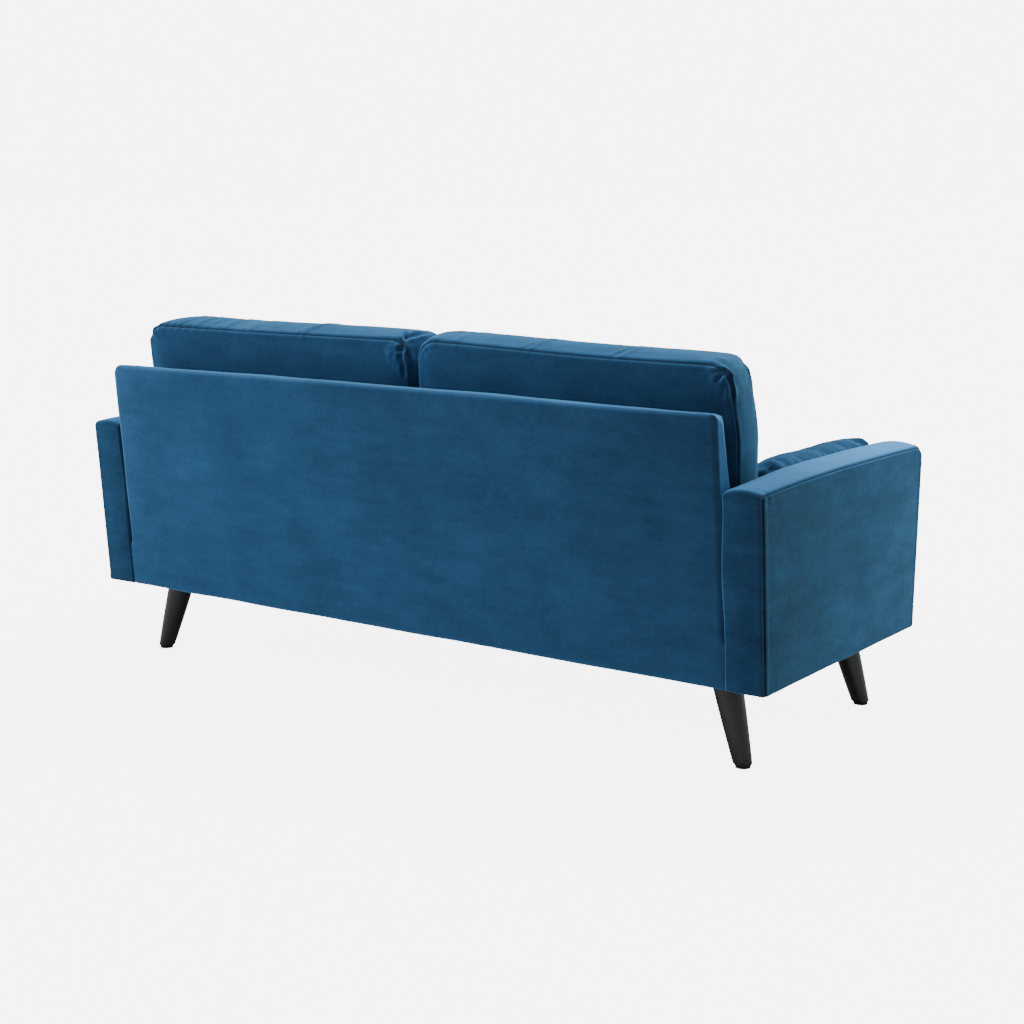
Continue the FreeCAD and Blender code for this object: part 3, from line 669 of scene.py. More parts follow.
def sew(item, form, seed, folds=(), even=0.0012, gather=1.0, nap=()):
    """Subdivide a form once, then sink its seams, gather the cloth beside them and press in its folds."""
    sewing = bpy.context.scene.sofa_sewing
    modifier = item.modifiers.new("Fine", "SUBSURF")
    modifier.levels = 1
    modifier.render_levels = 1
    baked(item)
    mesh = item.data
    points, normals = read_points(mesh), read_points(mesh, "normal")
    seam = np.zeros(len(points), np.float32)
    mesh.attributes["seam_distance"].data.foreach_get("value", seam)
    seam = seam.astype(float)
    groove = -sewing.groove * np.exp(-(seam / sewing.width) ** 2)
    beside = np.exp(-((seam - 3.2 * sewing.width) / (2.2 * sewing.width)) ** 2) * 0.0007
    run, crimp = seam_run(points, form, seam < 0.07)
    hand = np.sign(normals @ np.array(form.get("facing", (0.0, 0.0, 1.0))))
    places = zip(run.tolist(), hand.tolist())
    tucks = np.array([noise.noise(Vector((s * 62.0, seed + h * 9.0, 0.0))) for s, h in places])
    tucks = tucks * 1.7 * (seam < 0.07)
    strength = gather * sewing.pucker * (0.16 + 2.4 * crimp)
    pleats = strength * tucks * np.exp(-seam / (0.012 + 0.014 * crimp)) * (1 - np.exp(-(seam / 0.0035) ** 2))
    slack = even * ripple(points, 6.5, seed + 3) * (1 - np.exp(-(seam / 0.05) ** 2))
    height = groove + beside + pleats + slack
    for fold in folds:
        height += press(points, *fold)
    write_points(mesh, points + normals * height[:, None])
    # painted shade: a mask that is 1 down in each seam groove, used to darken the velvet there
    shade = np.exp(-(seam / (0.6 * sewing.width)) ** 2)
    put_values(mesh, "seam_shade", shade)
    # painted light and shade: each point is lightened or darkened by which way its face points, with a gradient along
    # Y, and fed to the velvet's colour
    light_and_shade = np.zeros(len(points))
    for axis, amount, slope in nap:
        light_and_shade += (amount + slope * points[:, 1]) * np.clip(normals @ np.array(axis), 0, 1) ** 2
    put_values(mesh, "nap", light_and_shade)
    mesh.shade_smooth()
    mesh.materials.clear()
    mesh.materials.append(finish_of("velvet"))
    return item


def press(points, start, end, width, depth):
    """One soft fold: a valley along a line with a rise beside it, fading at both ends."""
    a, b = np.array(start, float), np.array(end, float)
    line = b - a
    span = np.linalg.norm(line)
    along = ((points - a) @ line) / span ** 2
    near = a + np.clip(along, 0, 1)[:, None] * line
    away = np.linalg.norm(points - near, axis=1)
    fade = smooth_step(along, -0.15, 0.25) * (1 - smooth_step(along, 0.75, 1.15))
    valley = -depth * np.exp(-(away / width) ** 2)
    rise = 0.55 * depth * np.exp(-((away - 2.1 * width) / (1.1 * width)) ** 2)
    return (valley + rise) * fade


# ---- stitches ---------------------------------------------------------------------------------------

def stitch_shape(name, long, radius):
    """One stitch: a short thread with tapered, sunk ends."""
    made = bmesh.new()
    rings = [(-0.5, 0.35, -0.6), (-0.28, 1.0, 0.15), (0.28, 1.0, 0.15), (0.5, 0.35, -0.6)]
    loops = []
    for x, girth, lift in rings:
        ring = []
        for k in range(6):
            turn = 2 * math.pi * k / 6
            ring.append(made.verts.new((x * long, radius * girth * math.cos(turn),
                                        radius * (lift + girth * math.sin(turn)))))
        loops.append(ring)
    close_loops(made, loops)
    bmesh.ops.recalc_face_normals(made, faces=made.faces)
    return mesh_of(name, made)


def row_tree(name):
    """Geometry nodes that set one small part at even steps along a path, turned to follow it."""
    tree = bpy.data.node_groups.new(name, "GeometryNodeTree")
    for title, kind in (("Path", "Geometry"), ("Part", "Object"), ("Step", "Float"), ("Finish", "Material")):
        tree.interface.new_socket(title, in_out="INPUT", socket_type="NodeSocket" + kind)
    tree.interface.new_socket("Row", in_out="OUTPUT", socket_type="NodeSocketGeometry")
    start, end = add(tree, "NodeGroupInput"), add(tree, "NodeGroupOutput")
    curve = add(tree, "GeometryNodeMeshToCurve", Mesh=start.outputs["Path"])
    even = add(tree, "GeometryNodeResampleCurve", mode="LENGTH", Curve=curve.outputs["Curve"],
               Length=start.outputs["Step"])
    tangent = add(tree, "GeometryNodeInputTangent")
    outward = add(tree, "GeometryNodeInputNamedAttribute", data_type="FLOAT_VECTOR", Name="outward")
    turn = add(tree, "FunctionNodeAxesToRotation", primary_axis="X", secondary_axis="Z",
               Primary_Axis=tangent.outputs["Tangent"], Secondary_Axis=outward.outputs["Attribute"])
    part = add(tree, "GeometryNodeObjectInfo", transform_space="ORIGINAL", Object=start.outputs["Part"])
    copies = add(tree, "GeometryNodeInstanceOnPoints", Points=even.outputs["Curve"],
                 Rotation=turn.outputs["Rotation"], Instance=part.outputs["Geometry"])
    real = add(tree, "GeometryNodeRealizeInstances", Geometry=copies.outputs["Instances"])
    paint = add(tree, "GeometryNodeSetMaterial", Geometry=real.outputs["Geometry"],
                Material=start.outputs["Finish"])
    feed(tree, end, Row=paint.outputs["Geometry"])
    return tree


def row_along(name, paths, part_mesh, step, finish):
    """A plain mesh of one part repeated along paths of (points, outward directions, closed)."""
    verts, edges, outs = [], [], []
    for points, outward, closed in paths:
        first = len(verts)
        verts.extend(points.tolist())
        outs.extend(outward.tolist())
        count = len(points)
        edges.extend((first + k, first + k + 1) for k in range(count - 1))
        if closed:
            edges.append((first + count - 1, first))
    mesh = bpy.data.meshes.new(name)
    mesh.from_pydata(verts, edges, [])
    outward_of = mesh.attributes.new("outward", "FLOAT_VECTOR", "POINT").data
    outward_of.foreach_set("vector", np.array(outs, np.float32).ravel())
    made, part = placed(name, mesh), placed(name + "_part", part_mesh)
    tree = bpy.data.node_groups.get("row_along_path") or row_tree("row_along_path")
    modifier = made.modifiers.new("Row", "NODES")
    modifier.node_group = tree
    values = {"Part": part, "Step": step, "Finish": finish_of(finish)}
    for item in tree.interface.items_tree:
        if item.item_type == "SOCKET" and item.in_out == "INPUT" and item.name in values:
            modifier[item.identifier] = values[item.name]
    baked(made)
    bpy.data.objects.remove(part)
    made.data.shade_smooth()
    return made


def stitches(item, form, body):
    """Stitches down in the seams of a sewn piece."""
    sewing = bpy.context.scene.sofa_sewing
    points, normals = read_points(item.data), read_points(item.data, "normal")
    paths = [(points[ring] + normals[ring] * 0.0003, normals[ring], form["closed"]) for ring in form["rings"]]
    shape = stitch_shape(item.name + "_stitch", sewing.stitch * 0.78, sewing.thread)
    settle(row_along(item.name + "_stitches", paths, shape, sewing.stitch, "thread"), body, "velvet_blue")


# ---- the upholstery -----------------------------------------------------------------------------------

def lerp(a, b, t):
    """A point between two values."""
    return a + (b - a) * t


def crisp_foot(z):
    """Tighten the rounding along a cover's bottom edge, where the cloth is pulled under."""
    up = z - UNDER
    return UNDER + up * (0.3 + 0.7 * smooth_step(up, 0.0, 0.035))


def arm_form(side):
    """One arm: a boxed form whose panels face sideways, leaning at both ends and narrower at the top inside."""
    look = bpy.context.scene.sofa_arms
    name = "left" if side > 0 else "right"
    low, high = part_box(f"arm_{name}_cover")
    front_low, rear_low = -0.3815, 0.3245
    front_high, rear_high = low.y, high.y + 0.0011
    outer, inner_high = 0.918, 0.8135
    inner_low = 0.830
    top = high.z
    half = ((rear_low - front_low) / 2, (top - UNDER) / 2, 0.048)
    form = boxed_form(*half, look.edge, (look.heel, look.nose, look.foot), 0.011, seams=(1,), hem=True)
    p, q = form["points"], form["box"]
    rise = (p[:, 1] + half[1]) / (2 * half[1])
    along = (p[:, 0] + half[0]) / (2 * half[0])
    across = (p[:, 2] + half[2]) / (2 * half[2])
    y = lerp(lerp(front_low, front_high, rise), lerp(rear_low, rear_high, rise), along)
    at_rear = smooth_step(along, 0.45, 1.0)
    inner = lerp(lerp(inner_low, inner_high, rise), look.rear_inner, at_rear)
    inner -= 0.0035 * at_rear * np.sin(np.clip((rise - 0.35) / 0.5, 0, 1) * math.pi)
    x = lerp(inner, outer, across)
    z = crisp_foot(UNDER + rise * (top - UNDER))
    hump = 1 - q[:, 2] ** 2
    upper = smooth_step(rise, 0.80, 1.0)
    z += look.crown * hump * smooth_step(rise, 0.93, 1.0)
    z -= upper * (look.rear_dip * np.clip(q[:, 0], 0, 1) ** 2 + look.front_dip * np.clip(-q[:, 0], 0, 1) ** 3)
    y -= 0.004 * hump * smooth_step(-q[:, 0], 0.93, 1.0)
    y += 0.003 * hump * smooth_step(q[:, 0], 0.93, 1.0)
    flat = (1 - q[:, 0] ** 4) * (1 - q[:, 1] ** 4)
    x += look.swell * flat * np.where(q[:, 2] > 0, 1, -0.6) * (np.abs(q[:, 2]) > 0.5)
    form["points"] = np.stack([side * x, y, z], 1)
    form["facing"] = (float(side), 0.0, 0.0)
    if side < 0:
        form["faces"] = form["faces"][:, ::-1]
    return form


def back_form():
    """The backrest: its panels face front and back, it leans, and below the seat only its back panel goes on down."""
    look = bpy.context.scene.sofa_back
    low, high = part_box("back_cover")
    rear_low, rear_high = 0.3215, 0.3715
    front_low, front_high = 0.218, 0.296
    top = high.z - 0.002
    wide_low, wide_high = 0.8305, 0.8250
    half = (wide_low, (top - UNDER) / 2, 0.045)
    form = boxed_form(*half, look.edge, (look.corner, look.tight_corner, look.foot), 0.0125, seams=(), hem=True)
    p, q = form["points"], form["box"]
    rise = (p[:, 1] + half[1]) / (2 * half[1])
    z = crisp_foot(UNDER + rise * (top - UNDER))
    x = p[:, 0] / wide_low * lerp(wide_low, wide_high, rise)
    rear = lerp(rear_low, rear_high, rise) + look.bow * rise * (1 - np.abs(q[:, 0]) ** 5)
    front = lerp(front_low, front_high, np.clip((z - low.z) / (top - low.z), 0, 1))
    front = lerp(rear - 0.016, front, smooth_step(z, low.z - 0.008, low.z + 0.004))
    across = (p[:, 2] + half[2]) / (2 * half[2])
    pinch = smooth_step(np.abs(x), 0.796, 0.822) * across
    y = lerp(rear, front, across) + pinch * lerp(0.008, 0.052, rise)
    z += look.crown * (1 - q[:, 0] ** 2) * smooth_step(rise, 0.7, 1.0)
    z += 0.003 * (1 - q[:, 2] ** 2) * smooth_step(rise, 0.95, 1.0)
    z -= look.slope * across * smooth_step(rise, 0.80, 1.0)
    flat = (1 - q[:, 0] ** 6) * (1 - q[:, 1] ** 4)
    front_swell = 0.006
    y += look.swell * flat * (q[:, 2] < -0.5)
    y -= front_swell * flat * (q[:, 2] > 0.5) * smooth_step(z, low.z, low.z + 0.05)
    form["points"] = np.stack([x, y, z], 1)
    return form


def cushion_form(node, thin, normal, edge, corner, step):
    """A boxed cushion inside its CAD node's room, drawn in by a little so that it can swell."""
    low, high = (np.array(c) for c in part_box(node))
    low, high = low + thin, high - thin
    size, middle = (high - low) / 2, (high + low) / 2
    if normal == "z":
        form = boxed_form(size[0], size[1], size[2], edge, (corner, corner, corner), step)
        form["points"] = form["points"] + middle
    else:
        form = boxed_form(size[0], size[2], size[1], edge, (corner, corner, corner), step)
        form["facing"] = (0.0, -1.0, 0.0)
        u, v, w = form["points"].T
        form["points"] = np.stack([u, -w, v], 1) + middle
    return form


def flatten(item, flats):
    """Press a piece flat where it rests: each flat is an axis, the side that is kept, and where it lies."""
    points = read_points(item.data)
    soft = 0.0012
    for axis, keep, level in flats:
        points[:, axis] = level + keep * soft * np.logaddexp(0.0, keep * (points[:, axis] - level) / soft)
    write_points(item.data, points)


def finish_soft(name, form, body, nodes, seed, amount, swell=None, room=None, flats=(), **sewn):
    """Make, fill and sew one padded piece, and set it on its body in place of its CAD nodes."""
    item = mesh_object(name, form["points"], form["faces"], form["seam"])
    if swell:
        fill(item, form["rings"], *swell)
    if room:
        fit(item, *room)
    flatten(item, flats)
    sew(item, form, seed, **sewn)
    settle(item, body, SLOTS[nodes[0]], *nodes)
    if form["rings"]:
        stitches(item, form, body)
    return item


def lean_back(form, degrees, pivot_y, pivot_z):
    """Turn a standing form backwards about a line along X."""
    turn = math.radians(degrees)
    y = form["points"][:, 1] - pivot_y
    z = form["points"][:, 2] - pivot_z
    form["points"][:, 1] = pivot_y + y * math.cos(turn) + z * math.sin(turn)
    form["points"][:, 2] = pivot_z - y * math.sin(turn) + z * math.cos(turn)
    return form


class SOFA_OT_arms(bpy.types.Operator):
    """Cover both arms"""
    bl_idname = "sofa.arms"
    bl_label = "Arms"

    def execute(self, context):
        for name, side in SIDES.items():
            # painted light and shade on each arm: rear face darker, top lighter towards the front, outer side darker
            # towards the back
            nap = (((0, 1, 0), -0.65, 0.0), ((0, 0, 1), 1.7, -5.0), ((side, 0, 0), -1.05, -0.8))
            nodes = [f"arm_{name}_cover", f"arm_{name}_pad"]
            finish_soft(f"arm_{name}_velvet", arm_form(side), FRAME_BODY, nodes, seed=2 + side, amount=0.9,
                        even=0.0009, gather=0.35, nap=nap)
        return {"FINISHED"}


class SOFA_OT_backrest(bpy.types.Operator):
    """Cover the backrest"""
    bl_idname = "sofa.backrest"
    bl_label = "Backrest"

    def execute(self, context):
        nodes = ["back_cover", "back_pad", "outside_back"]
        finish_soft("backrest_velvet", back_form(), FRAME_BODY, nodes, seed=5, amount=0.85, even=0.0011, gather=0.0)
        return {"FINISHED"}


class SOFA_OT_seat_cushions(bpy.types.Operator):
    """Make the two seat cushions"""
    bl_idname = "sofa.seat_cushions"
    bl_label = "Seat Cushions"

    def execute(self, context):
        look = context.scene.sofa_cushions
        for name, side in SIDES.items():
            node = f"seat_cushion_{name}"
            room_to_swell = np.array((0.006, 0.006, 0.006))
            form = cushion_form(f"{node}_cover", room_to_swell, "z", look.edge, look.corner, 0.011)
            low, high = (np.array(c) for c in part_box(f"{node}_cover"))
            press_in = np.array((0.008, 0.0, 0.012))
            item = finish_soft(f"{node}_velvet", form, node, [f"{node}_cover", f"{node}_core"], seed=11 + side,
                               amount=0.8, swell=(look.pressure, look.seat_cap, look.steps, 0.0),
                               room=(low - press_in, high + press_in * (1, 0, 0.3)),
                               flats=((0, side, side * 0.0012), (2, 1, low[2])))
            near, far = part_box(f"{node}_zip")
            level = (near.z + far.z) / 2
            behind = far.y + 0.1
            zip_up(node, item, (near.x, behind, level), (far.x, behind, level), (0, -1, 0), (0, 0, 1))
        return {"FINISHED"}


def top_pleats(xs, lean, depth):
    """Slanting pleats across a back cushion's top band, from its rear seam forwards."""
    rear, front, width = (0.252, 0.812), (0.165, 0.832), 0.0055
    return [((x, *rear), (x + lean, *front), width, depth * (0.7 + 0.3 * math.sin(97 * x))) for x in xs]


def corner_creases(x, hand, depth):
    """Creases that spread from a back cushion's top rear corner, over its back and its top."""
    made = []
    for k, (dx, dz) in enumerate(((0.055, -0.008), (0.048, -0.028), (0.026, -0.050), (0.008, -0.062))):
        made.append(((x + hand * 0.012, 0.256, 0.800), (x + hand * dx, 0.252, 0.800 + dz), 0.0045, depth))
    for k, (dx, dy) in enumerate(((0.050, -0.030), (0.038, -0.055), (0.015, -0.070))):
        made.append(((x + hand * 0.012, 0.245, 0.822), (x + hand * dx, 0.245 + dy, 0.828), 0.0045, depth))
    return made


BACK_FOLDS = {
    "left": top_pleats((0.775, 0.752, 0.731, 0.706, 0.676, 0.640, 0.580, 0.500, 0.33), -0.055, 0.0048)
    + corner_creases(0.012, 1, 0.0050),
    "right": top_pleats((-0.030, -0.052, -0.078, -0.110, -0.30, -0.52), -0.045, 0.0030)
    + corner_creases(-0.800, 1, 0.0042),
}


# For each back cushion: how far its outer side tapers in at the top and spreads over the arm, how far its top falls
# towards the arm, and how far its inner side is drawn in at the rear.
BACK_SHAPES = {"left": (0.0, 0.014, 0.002, 0.010), "right": (0.017, 0.0, 0.010, 0.024)}


class SOFA_OT_back_cushions(bpy.types.Operator):
    """Make the two back cushions"""
    bl_idname = "sofa.back_cushions"
    bl_label = "Back Cushions"

    def execute(self, context):
        look = context.scene.sofa_cushions
        for name, side in SIDES.items():
            node = f"back_cushion_{name}"
            low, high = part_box(f"{node}_cover")
            room_to_swell = np.array((0.005, 0.004, 0.008))
            form = cushion_form(f"{node}_cover", room_to_swell, "y", look.edge, look.round, 0.010)
            outward, upward = side * form["box"][:, 0], form["box"][:, 1]
            forward = (1 + form["box"][:, 2]) / 2
            taper, spread_out, fall, inner_rear = BACK_SHAPES[name]
            shift = -taper * smooth_step(upward, 0.1, 1.0) * smooth_step(outward, 0.0, 1.0)
            shift -= look.draw * forward * smooth_step(outward, 0.2, 1.0)
            shift += inner_rear * (1 - forward) * smooth_step(-outward, 0.0, 1.0)
            shift -= spread_out * (1 - smooth_step(upward, -0.3, 0.8)) * smooth_step(outward, 0.2, 1.0)
            form["points"][:, 0] += side * shift
            rise = look.band_crown * (1 - form["box"][:, 2] ** 2) - fall * smooth_step(outward, -1.0, 0.4)
            form["points"][:, 2] += rise * smooth_step(upward, 0.0, 1.0)
            lean_back(form, 3.0, (low.y + high.y) / 2, (low.z + high.z) / 2)
            outer = spread_out - 0.004
            spill = np.array((0.010 if side > 0 else outer, 0.0, 0.010))
            room = (np.array(low) - spill, np.array(high) + (0.010 if side < 0 else outer, 0.0, look.back_rise))
            # painted shade on each back cushion: its top and its outer side are darkened
            item = finish_soft(f"{node}_velvet", form, node, [f"{node}_cover", f"{node}_core"], seed=21 + side,
                               amount=0.7, swell=(look.pressure, look.back_cap, look.steps, 0.0),
                               room=(*room, (0, 2)), folds=BACK_FOLDS[name],
                               nap=(((0, 0, 1), -0.40, 0.0), ((side, 0, 0), -1.2, 0.0)),
                               flats=((0, side, side * 0.0015), (2, 1, low.z)))
            near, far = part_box(f"{node}_zip")
            middle = (near.y + far.y) / 2
            below = near.z - 0.1
            zip_up(node, item, (near.x, middle, below), (far.x, middle, below), (0, 0, 1), (0, 1, 0))
        return {"FINISHED"}


class SOFA_OT_pillows(bpy.types.Operator):
    """Make the two arm pillows"""
    bl_idname = "sofa.pillows"
    bl_label = "Arm Pillows"

    def execute(self, context):
        look = context.scene.sofa_cushions
        for name, side in SIDES.items():
            node = f"arm_pillow_{name}"
            low, high = (np.array(c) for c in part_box(f"{node}_cover"))
            middle = (low + high) / 2
            reach = (high - low) / 2
            turn = math.radians(45)
            half_v, half_w = 0.098, 0.012
            form = boxed_form(reach[1] - 0.006, half_v, half_w, 0.006, (0.045, 0.045, 0.045), 0.010, seams=(1,))
            u, v, w = form["points"].T
            q = form["box"]
            loft = 0.026 * (1 - q[:, 0] ** 4) * (1 - q[:, 1] ** 2) ** 0.7
            w = w + np.sign(w) * loft
            x = v * math.sin(turn) + w * math.cos(turn)
            z = v * math.cos(turn) - w * math.sin(turn)
            form["points"] = np.stack([side * x, u, z], 1) + middle
            if side < 0:
                form["faces"] = form["faces"][:, ::-1]
            # painted shade on each pillow: its upward faces are darkened
            finish_soft(f"{node}_velvet", form, node, [f"{node}_cover", f"{node}_core"], seed=31 + side,
                        amount=0.75, swell=(look.pressure, 0.010, look.steps, 0.02), room=(low, high),
                        nap=(((0, 0, 1), -1.1, 0.0),))
        return {"FINISHED"}


class SOFA_OT_front_border(bpy.types.Operator):
    """Cover the front rail and the deck"""
    bl_idname = "sofa.front_border"
    bl_label = "Front Border and Deck"

    def execute(self, context):
        form = cushion_form("front_border", np.array((0.0, 0.0, 0.0)), "y", 0.0035, 0.006, 0.012)
        finish_soft("front_border_velvet", form, FRAME_BODY, ["front_border"], seed=41, amount=0.6, even=0.0006,
                    gather=0.2)
        form = cushion_form("deck_cover", np.array((0.0, 0.0, 0.0)), "z", 0.0011, 0.006, 0.014)
        pad_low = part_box("deck_pad")[0].z
        under = form["points"][:, 2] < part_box("deck_cover")[0].z + 0.0015
        form["points"][under, 2] += pad_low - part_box("deck_cover")[0].z
        item = finish_soft("deck_cloth", form, FRAME_BODY, ["deck_cover", "deck_pad"], seed=43, amount=0.3,
                           even=0.0006, gather=0.1)
        item.data.materials[0] = finish_of("cloth")
        return {"FINISHED"}


class SOFA_OT_underside(bpy.types.Operator):
    """Staple thin cloth under the base"""
    bl_idname = "sofa.underside"
    bl_label = "Underside Cloth"

    def execute(self, context):
        low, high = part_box("dust_cover")
        wide, long = high.x - low.x, high.y - low.y
        columns, rows = int(wide / 0.012), int(long / 0.012)
        made = bmesh.new()
        bmesh.ops.create_grid(made, x_segments=columns, y_segments=rows, size=0.5)
        middle = Vector(((low.x + high.x) / 2, (low.y + high.y) / 2, 0))
        for vert in made.verts:
            u, v = 2 * vert.co.x, 2 * vert.co.y
            sag = cloth_sag(u, v) + 0.0006 * noise.noise(Vector((u * 9, v * 5, 2)))
            vert.co = middle + Vector((vert.co.x * wide, vert.co.y * long, high.z - 0.0004 - sag))
        for end in ("front", "rear"):
            for name in SIDES:
                least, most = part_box(f"leg_{end}_{name}")
                radius = 0.0345
                centre = Vector((most.x - 0.0325 if least.x < 0 else least.x + 0.0325,
                                 most.y - 0.0325 if end == "front" else least.y + 0.0325, 0))
                inside = [face for face in made.faces
                          if (face.calc_center_median().xy - centre.xy).length < radius]
                bmesh.ops.delete(made, geom=inside, context="FACES")
                for vert in made.verts:
                    away = vert.co.xy - centre.xy
                    if away.length < radius + 0.006:
                        place = centre.xy + away.normalized() * max(radius, away.length)
                        if any(edge.is_boundary for edge in vert.link_edges):
                            place = centre.xy + away.normalized() * radius
                        vert.co.x, vert.co.y = place
        item = thickened(placed("underside_cloth", mesh_of("underside_cloth", made), "cloth"), 0.0005)
        inset = 0.009
        edge = []
        for x, y in ((-1, -1), (1, -1), (1, 1), (-1, 1)):
            edge.append(np.array((middle.x + x * (wide / 2 - inset), middle.y + y * (long / 2 - inset), 0.0)))
        path = np.concatenate([np.linspace(one, two, 60)[:-1] for one, two in zip(edge, edge[1:] + edge[:1])])
        path[:, 2] = high.z - 0.0010
        down = np.tile((0.0, 0.0, -1.0), (len(path), 1))
        staples = row_along("underside_staples", [(path, down, True)], stitch_shape("staple", 0.011, 0.0006),
                            0.048, "steel")
        settle(item, FRAME_BODY, SLOTS["dust_cover"], "dust_cover")
        settle(staples, FRAME_BODY, SLOTS["leg_plates"])
        return {"FINISHED"}


def cloth_sag(u, v):
    """How far the underside cloth hangs at a place between its edges."""
    return 0.003 * (1 - u ** 4) * (1 - v ** 4)


def tooth_shape(name):
    """One zip tooth."""
    made = bmesh.new()
    bmesh.ops.create_cube(made, size=1.0)
    bmesh.ops.scale(made, vec=(0.0013, 0.0036, 0.0012), verts=made.verts)
    bmesh.ops.bevel(made, geom=made.edges[:], offset=0.0003, segments=1, affect="EDGES")
    return mesh_of(name, made)


def on_surface(tree, starts, toward):
    """Where lines from some points in one direction meet a surface, with its outward normals."""
    places, outs = [], []
    for start in starts:
        place, out, _, _ = tree.ray_cast(Vector(start), Vector(toward))
        if place is None:
            raise RuntimeError("a zip misses its cushion")
        places.append(place)
        outs.append(out)
    return np.array(places), np.array(outs)


def zip_up(node, cushion, start, end, toward, across):
    """A zip on a cushion's surface: tape, teeth and a slider with its pull."""
    points = read_points(cushion.data)
    tree = BVHTree.FromPolygons(points.tolist(), [tuple(face.vertices) for face in cushion.data.polygons])
    line = np.linspace(start, end, 150)
    verts = []
    for shift, rise in ((-0.009, 0.0002), (-0.0045, 0.0011), (0.0045, 0.0011), (0.009, 0.0002)):
        places, outs = on_surface(tree, line + np.array(across) * shift, toward)
        verts.extend((places + outs * rise).tolist())
    count = len(line)
    faces = [(c * count + k, c * count + k + 1, (c + 1) * count + k + 1, (c + 1) * count + k)
             for c in range(3) for k in range(count - 1)]
    mesh = bpy.data.meshes.new(node + "_tape")
    mesh.from_pydata(verts, [], faces)
    tape = thickened(placed(node + "_tape", mesh, "zip"), 0.0006)
    centre, outs = on_surface(tree, line[3:-3], toward)
    teeth = row_along(node + "_teeth", [(centre + outs * 0.0016, outs, False)], tooth_shape(node + "_tooth"),
                      0.0024, "zip")
    made = bmesh.new()
    for size, shift in (((0.010, 0.0075, 0.0034), (0, 0, 0)), ((0.018, 0.0045, 0.0012), (0.012, 0, 0.0022))):
        block = bmesh.ops.create_cube(made, size=1.0)["verts"]
        bmesh.ops.scale(made, vec=size, verts=block)
        bmesh.ops.translate(made, vec=shift, verts=block)
    bmesh.ops.bevel(made, geom=made.edges[:], offset=0.0005, segments=2, affect="EDGES")
    out = Vector(outs[0])
    along = (Vector(centre[8]) - Vector(centre[0])).normalized()
    side = out.cross(along).normalized()
    turn = Matrix((along, side, out)).transposed().to_4x4()
    made.transform(Matrix.Translation(Vector(centre[0]) + out * 0.0030) @ turn)
    slider = placed(node + "_slider", mesh_of(node + "_slider", made), "steel")
    settle(tape, node, SLOTS[node + "_zip"], node + "_zip")
    settle(teeth, node, SLOTS[node + "_zip"])
    settle(slider, node, SLOTS["leg_plates"])


def leg_mesh(name, foot, top, low, high, foot_radius, top_radius):
    """A round tapered leg, cut level at both ends, with the arris at its foot eased."""
    sides, rows = 56, 40
    made = bmesh.new()
    loops = []
    for k in range(rows + 1):
        t = k / rows
        centre = Vector(foot).lerp(Vector(top), t)
        radius = lerp(foot_radius, top_radius, t) + 0.0009 * math.sin(math.pi * t)
        from_foot = t * (high - low)
        if from_foot < 0.004:
            radius -= 0.004 - math.sqrt(0.004 ** 2 - (0.004 - from_foot) ** 2)
        z = lerp(low, high, t)
        loops.append([made.verts.new((centre.x + radius * math.cos(2 * math.pi * j / sides),
                                      centre.y + radius * math.sin(2 * math.pi * j / sides), z))
                      for j in range(sides)])
    close_loops(made, loops)
    mesh = mesh_of(name, made)
    mesh.shade_smooth()
    return mesh


class SOFA_OT_legs(bpy.types.Operator):
    """Turn and paint the four legs"""
    bl_idname = "sofa.legs"
    bl_label = "Legs"

    def execute(self, context):
        for end, sign in (("front", -1), ("rear", 1)):
            for name, side in SIDES.items():
                node = f"leg_{end}_{name}"
                low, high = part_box(node)
                foot_radius, top_radius = 0.0195, 0.0325
                foot_x = (high.x if side > 0 else low.x) - side * foot_radius
                top_x = (low.x if side > 0 else high.x) + side * top_radius
                foot_y = (high.y if sign > 0 else low.y) - sign * foot_radius
                top_y = (low.y if sign > 0 else high.y) + sign * top_radius
                mesh = leg_mesh(f"{node}_painted", (foot_x, foot_y), (top_x, top_y), low.z, high.z, foot_radius,
                                top_radius)
                settle(placed(f"{node}_painted", mesh, "leg"), FRAME_BODY, "leg_black", node)
        return {"FINISHED"}


CAD_FINISHES = {
    "frame_wood": "timber", "zinc_steel": "steel", "spring_steel": "spring", "clip_plastic": "clip",
    "glide_plastic": "glide", "zip_nylon": "zip", "foam_filling": "foam", "wadding": "wadding",
    "black_cloth": "cloth", "fibre_board": "board", "leg_black": "leg", "velvet_blue": "velvet",
}


class SOFA_OT_frame(bpy.types.Operator):
    """Finish the frame, springs, fasteners and linings"""
    bl_idname = "sofa.frame"
    bl_label = "Frame"

    def execute(self, context):
        for node, item in frame["nodes"].items():
            item.data.materials.clear()
            item.data.materials.append(finish_of(CAD_FINISHES[SLOTS[node]]))
        return {"FINISHED"}


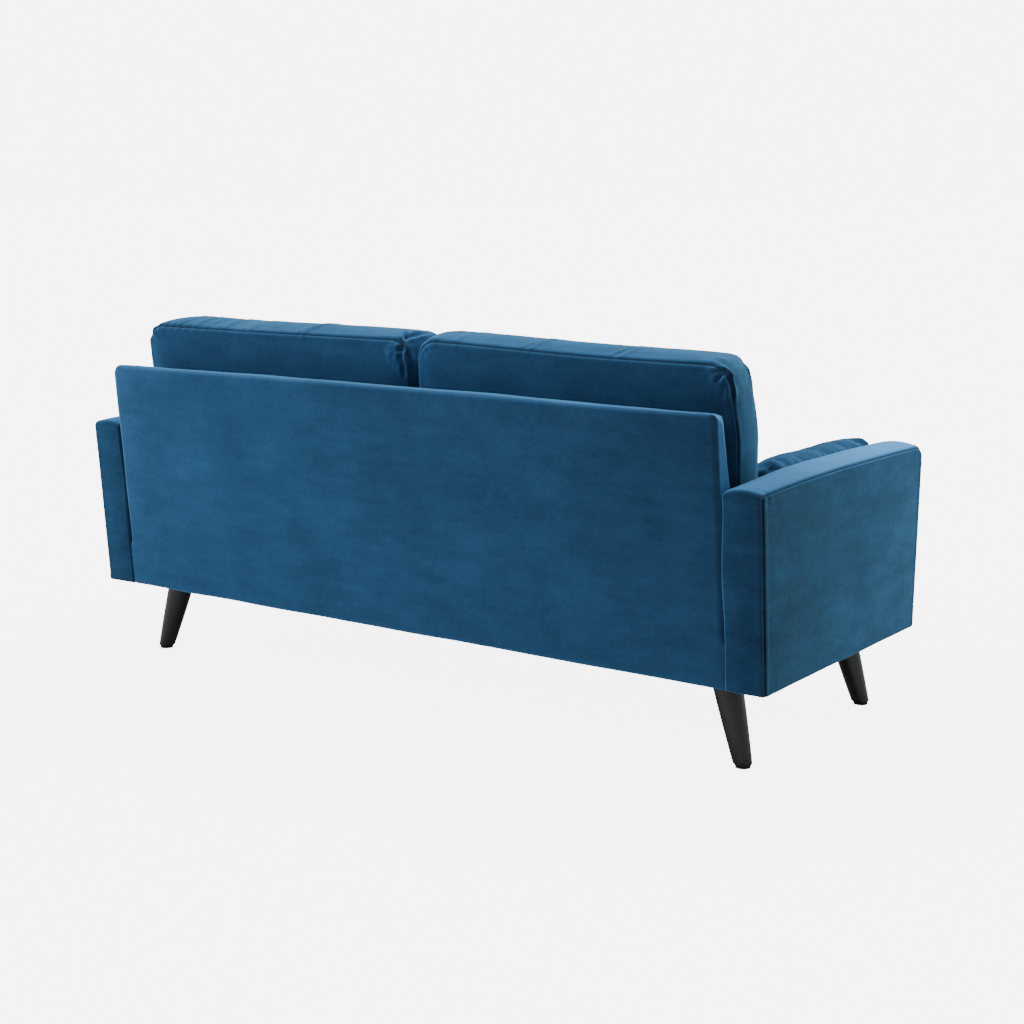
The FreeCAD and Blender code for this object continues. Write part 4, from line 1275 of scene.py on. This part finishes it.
class SOFA_OT_stage(bpy.types.Operator):
    """Set the floor, the light and the camera"""
    bl_idname = "sofa.stage"
    bl_label = "Stage"

    def execute(self, context):
        look = context.scene.sofa_stage
        mesh = bpy.data.meshes.new("floor")
        reach = 60.0
        mesh.from_pydata([(-reach, -reach, 0), (reach, -reach, 0), (reach, reach, 0), (-reach, reach, 0)], [],
                         [(0, 1, 2, 3)])
        made = bpy.data.materials.new("pale_floor")
        made.use_nodes = True
        tree = made.node_tree
        tree.nodes.clear()
        seen = add(tree, "ShaderNodeLightPath").outputs["Is Camera Ray"]
        base = add(tree, "ShaderNodeBsdfDiffuse", Color=(0.72, 0.72, 0.72))
        glow = add(tree, "ShaderNodeEmission", Strength=maths(tree, "MULTIPLY", seen, look.backdrop - 1.0))
        both = add(tree, "ShaderNodeAddShader")
        give(tree, both.inputs[0], base.outputs[0])
        give(tree, both.inputs[1], glow.outputs[0])
        add(tree, "ShaderNodeOutputMaterial", Surface=both.outputs[0])
        mesh.materials.append(made)
        placed("floor", mesh)

        world = bpy.data.worlds.new("studio")
        context.scene.world = world
        world.use_nodes = True
        tree = world.node_tree
        seen = add(tree, "ShaderNodeLightPath").outputs["Is Camera Ray"]
        room = maths(tree, "ADD", maths(tree, "MULTIPLY", seen, look.backdrop - look.sky), look.sky)
        feed(tree, tree.nodes["Background"], Strength=room, Color=(1.0, 1.0, 1.0))

        for name, strength, angle, heading in (("overhead", look.key, 70.0, (-0.12, 0.16, -0.98)),
                                               ("behind", look.side, 60.0, (-0.50, -0.72, -0.48))):
            lamp = bpy.data.lights.new(name, "SUN")
            lamp.energy = strength
            lamp.angle = math.radians(angle)
            item = bpy.data.objects.new(name, lamp)
            item.rotation_euler = Vector(heading).to_track_quat("-Z", "Y").to_euler()
            context.scene.collection.objects.link(item)

        a, e = math.radians(look.azimuth), math.radians(look.elevation)
        back = Vector((math.sin(a) * math.cos(e), -math.cos(a) * math.cos(e), math.sin(e)))
        lens = bpy.data.cameras.new("camera")
        lens.lens = look.lens
        lens.sensor_width = 36.0
        camera = bpy.data.objects.new("camera", lens)
        camera.location = Vector(look.aim) + back * look.distance
        camera.rotation_euler = (-back).to_track_quat("-Z", "Y").to_euler()
        context.scene.collection.objects.link(camera)
        context.scene.camera = camera
        return {"FINISHED"}


OPERATORS = (SOFA_OT_stage, SOFA_OT_frame, SOFA_OT_legs, SOFA_OT_arms, SOFA_OT_backrest, SOFA_OT_front_border,
             SOFA_OT_underside, SOFA_OT_seat_cushions, SOFA_OT_back_cushions, SOFA_OT_pillows)


class SOFA_PT_panel(bpy.types.Panel):
    """The steps that make the sofa, in order"""
    bl_label = "Sofa"
    bl_idname = "SOFA_PT_panel"
    bl_space_type = "VIEW_3D"
    bl_region_type = "UI"
    bl_category = "Sofa"

    def draw(self, context):
        for step in OPERATORS:
            self.layout.operator(step.bl_idname)


CLASSES = (*GROUPS.values(), *OPERATORS, SOFA_PT_panel)


def register():
    """Add the classes and the settings."""
    for one in CLASSES:
        bpy.utils.register_class(one)
    for name, group in GROUPS.items():
        setattr(bpy.types.Scene, name, PointerProperty(type=group))


def unregister():
    """Take them away again."""
    for name in GROUPS:
        delattr(bpy.types.Scene, name)
    for one in reversed(CLASSES):
        bpy.utils.unregister_class(one)


def main():
    """Make the whole sofa."""
    register()
    for step in OPERATORS:
        family, name = step.bl_idname.split(".")
        getattr(getattr(bpy.ops, family), name)()


if __name__ == "__main__":
    main()
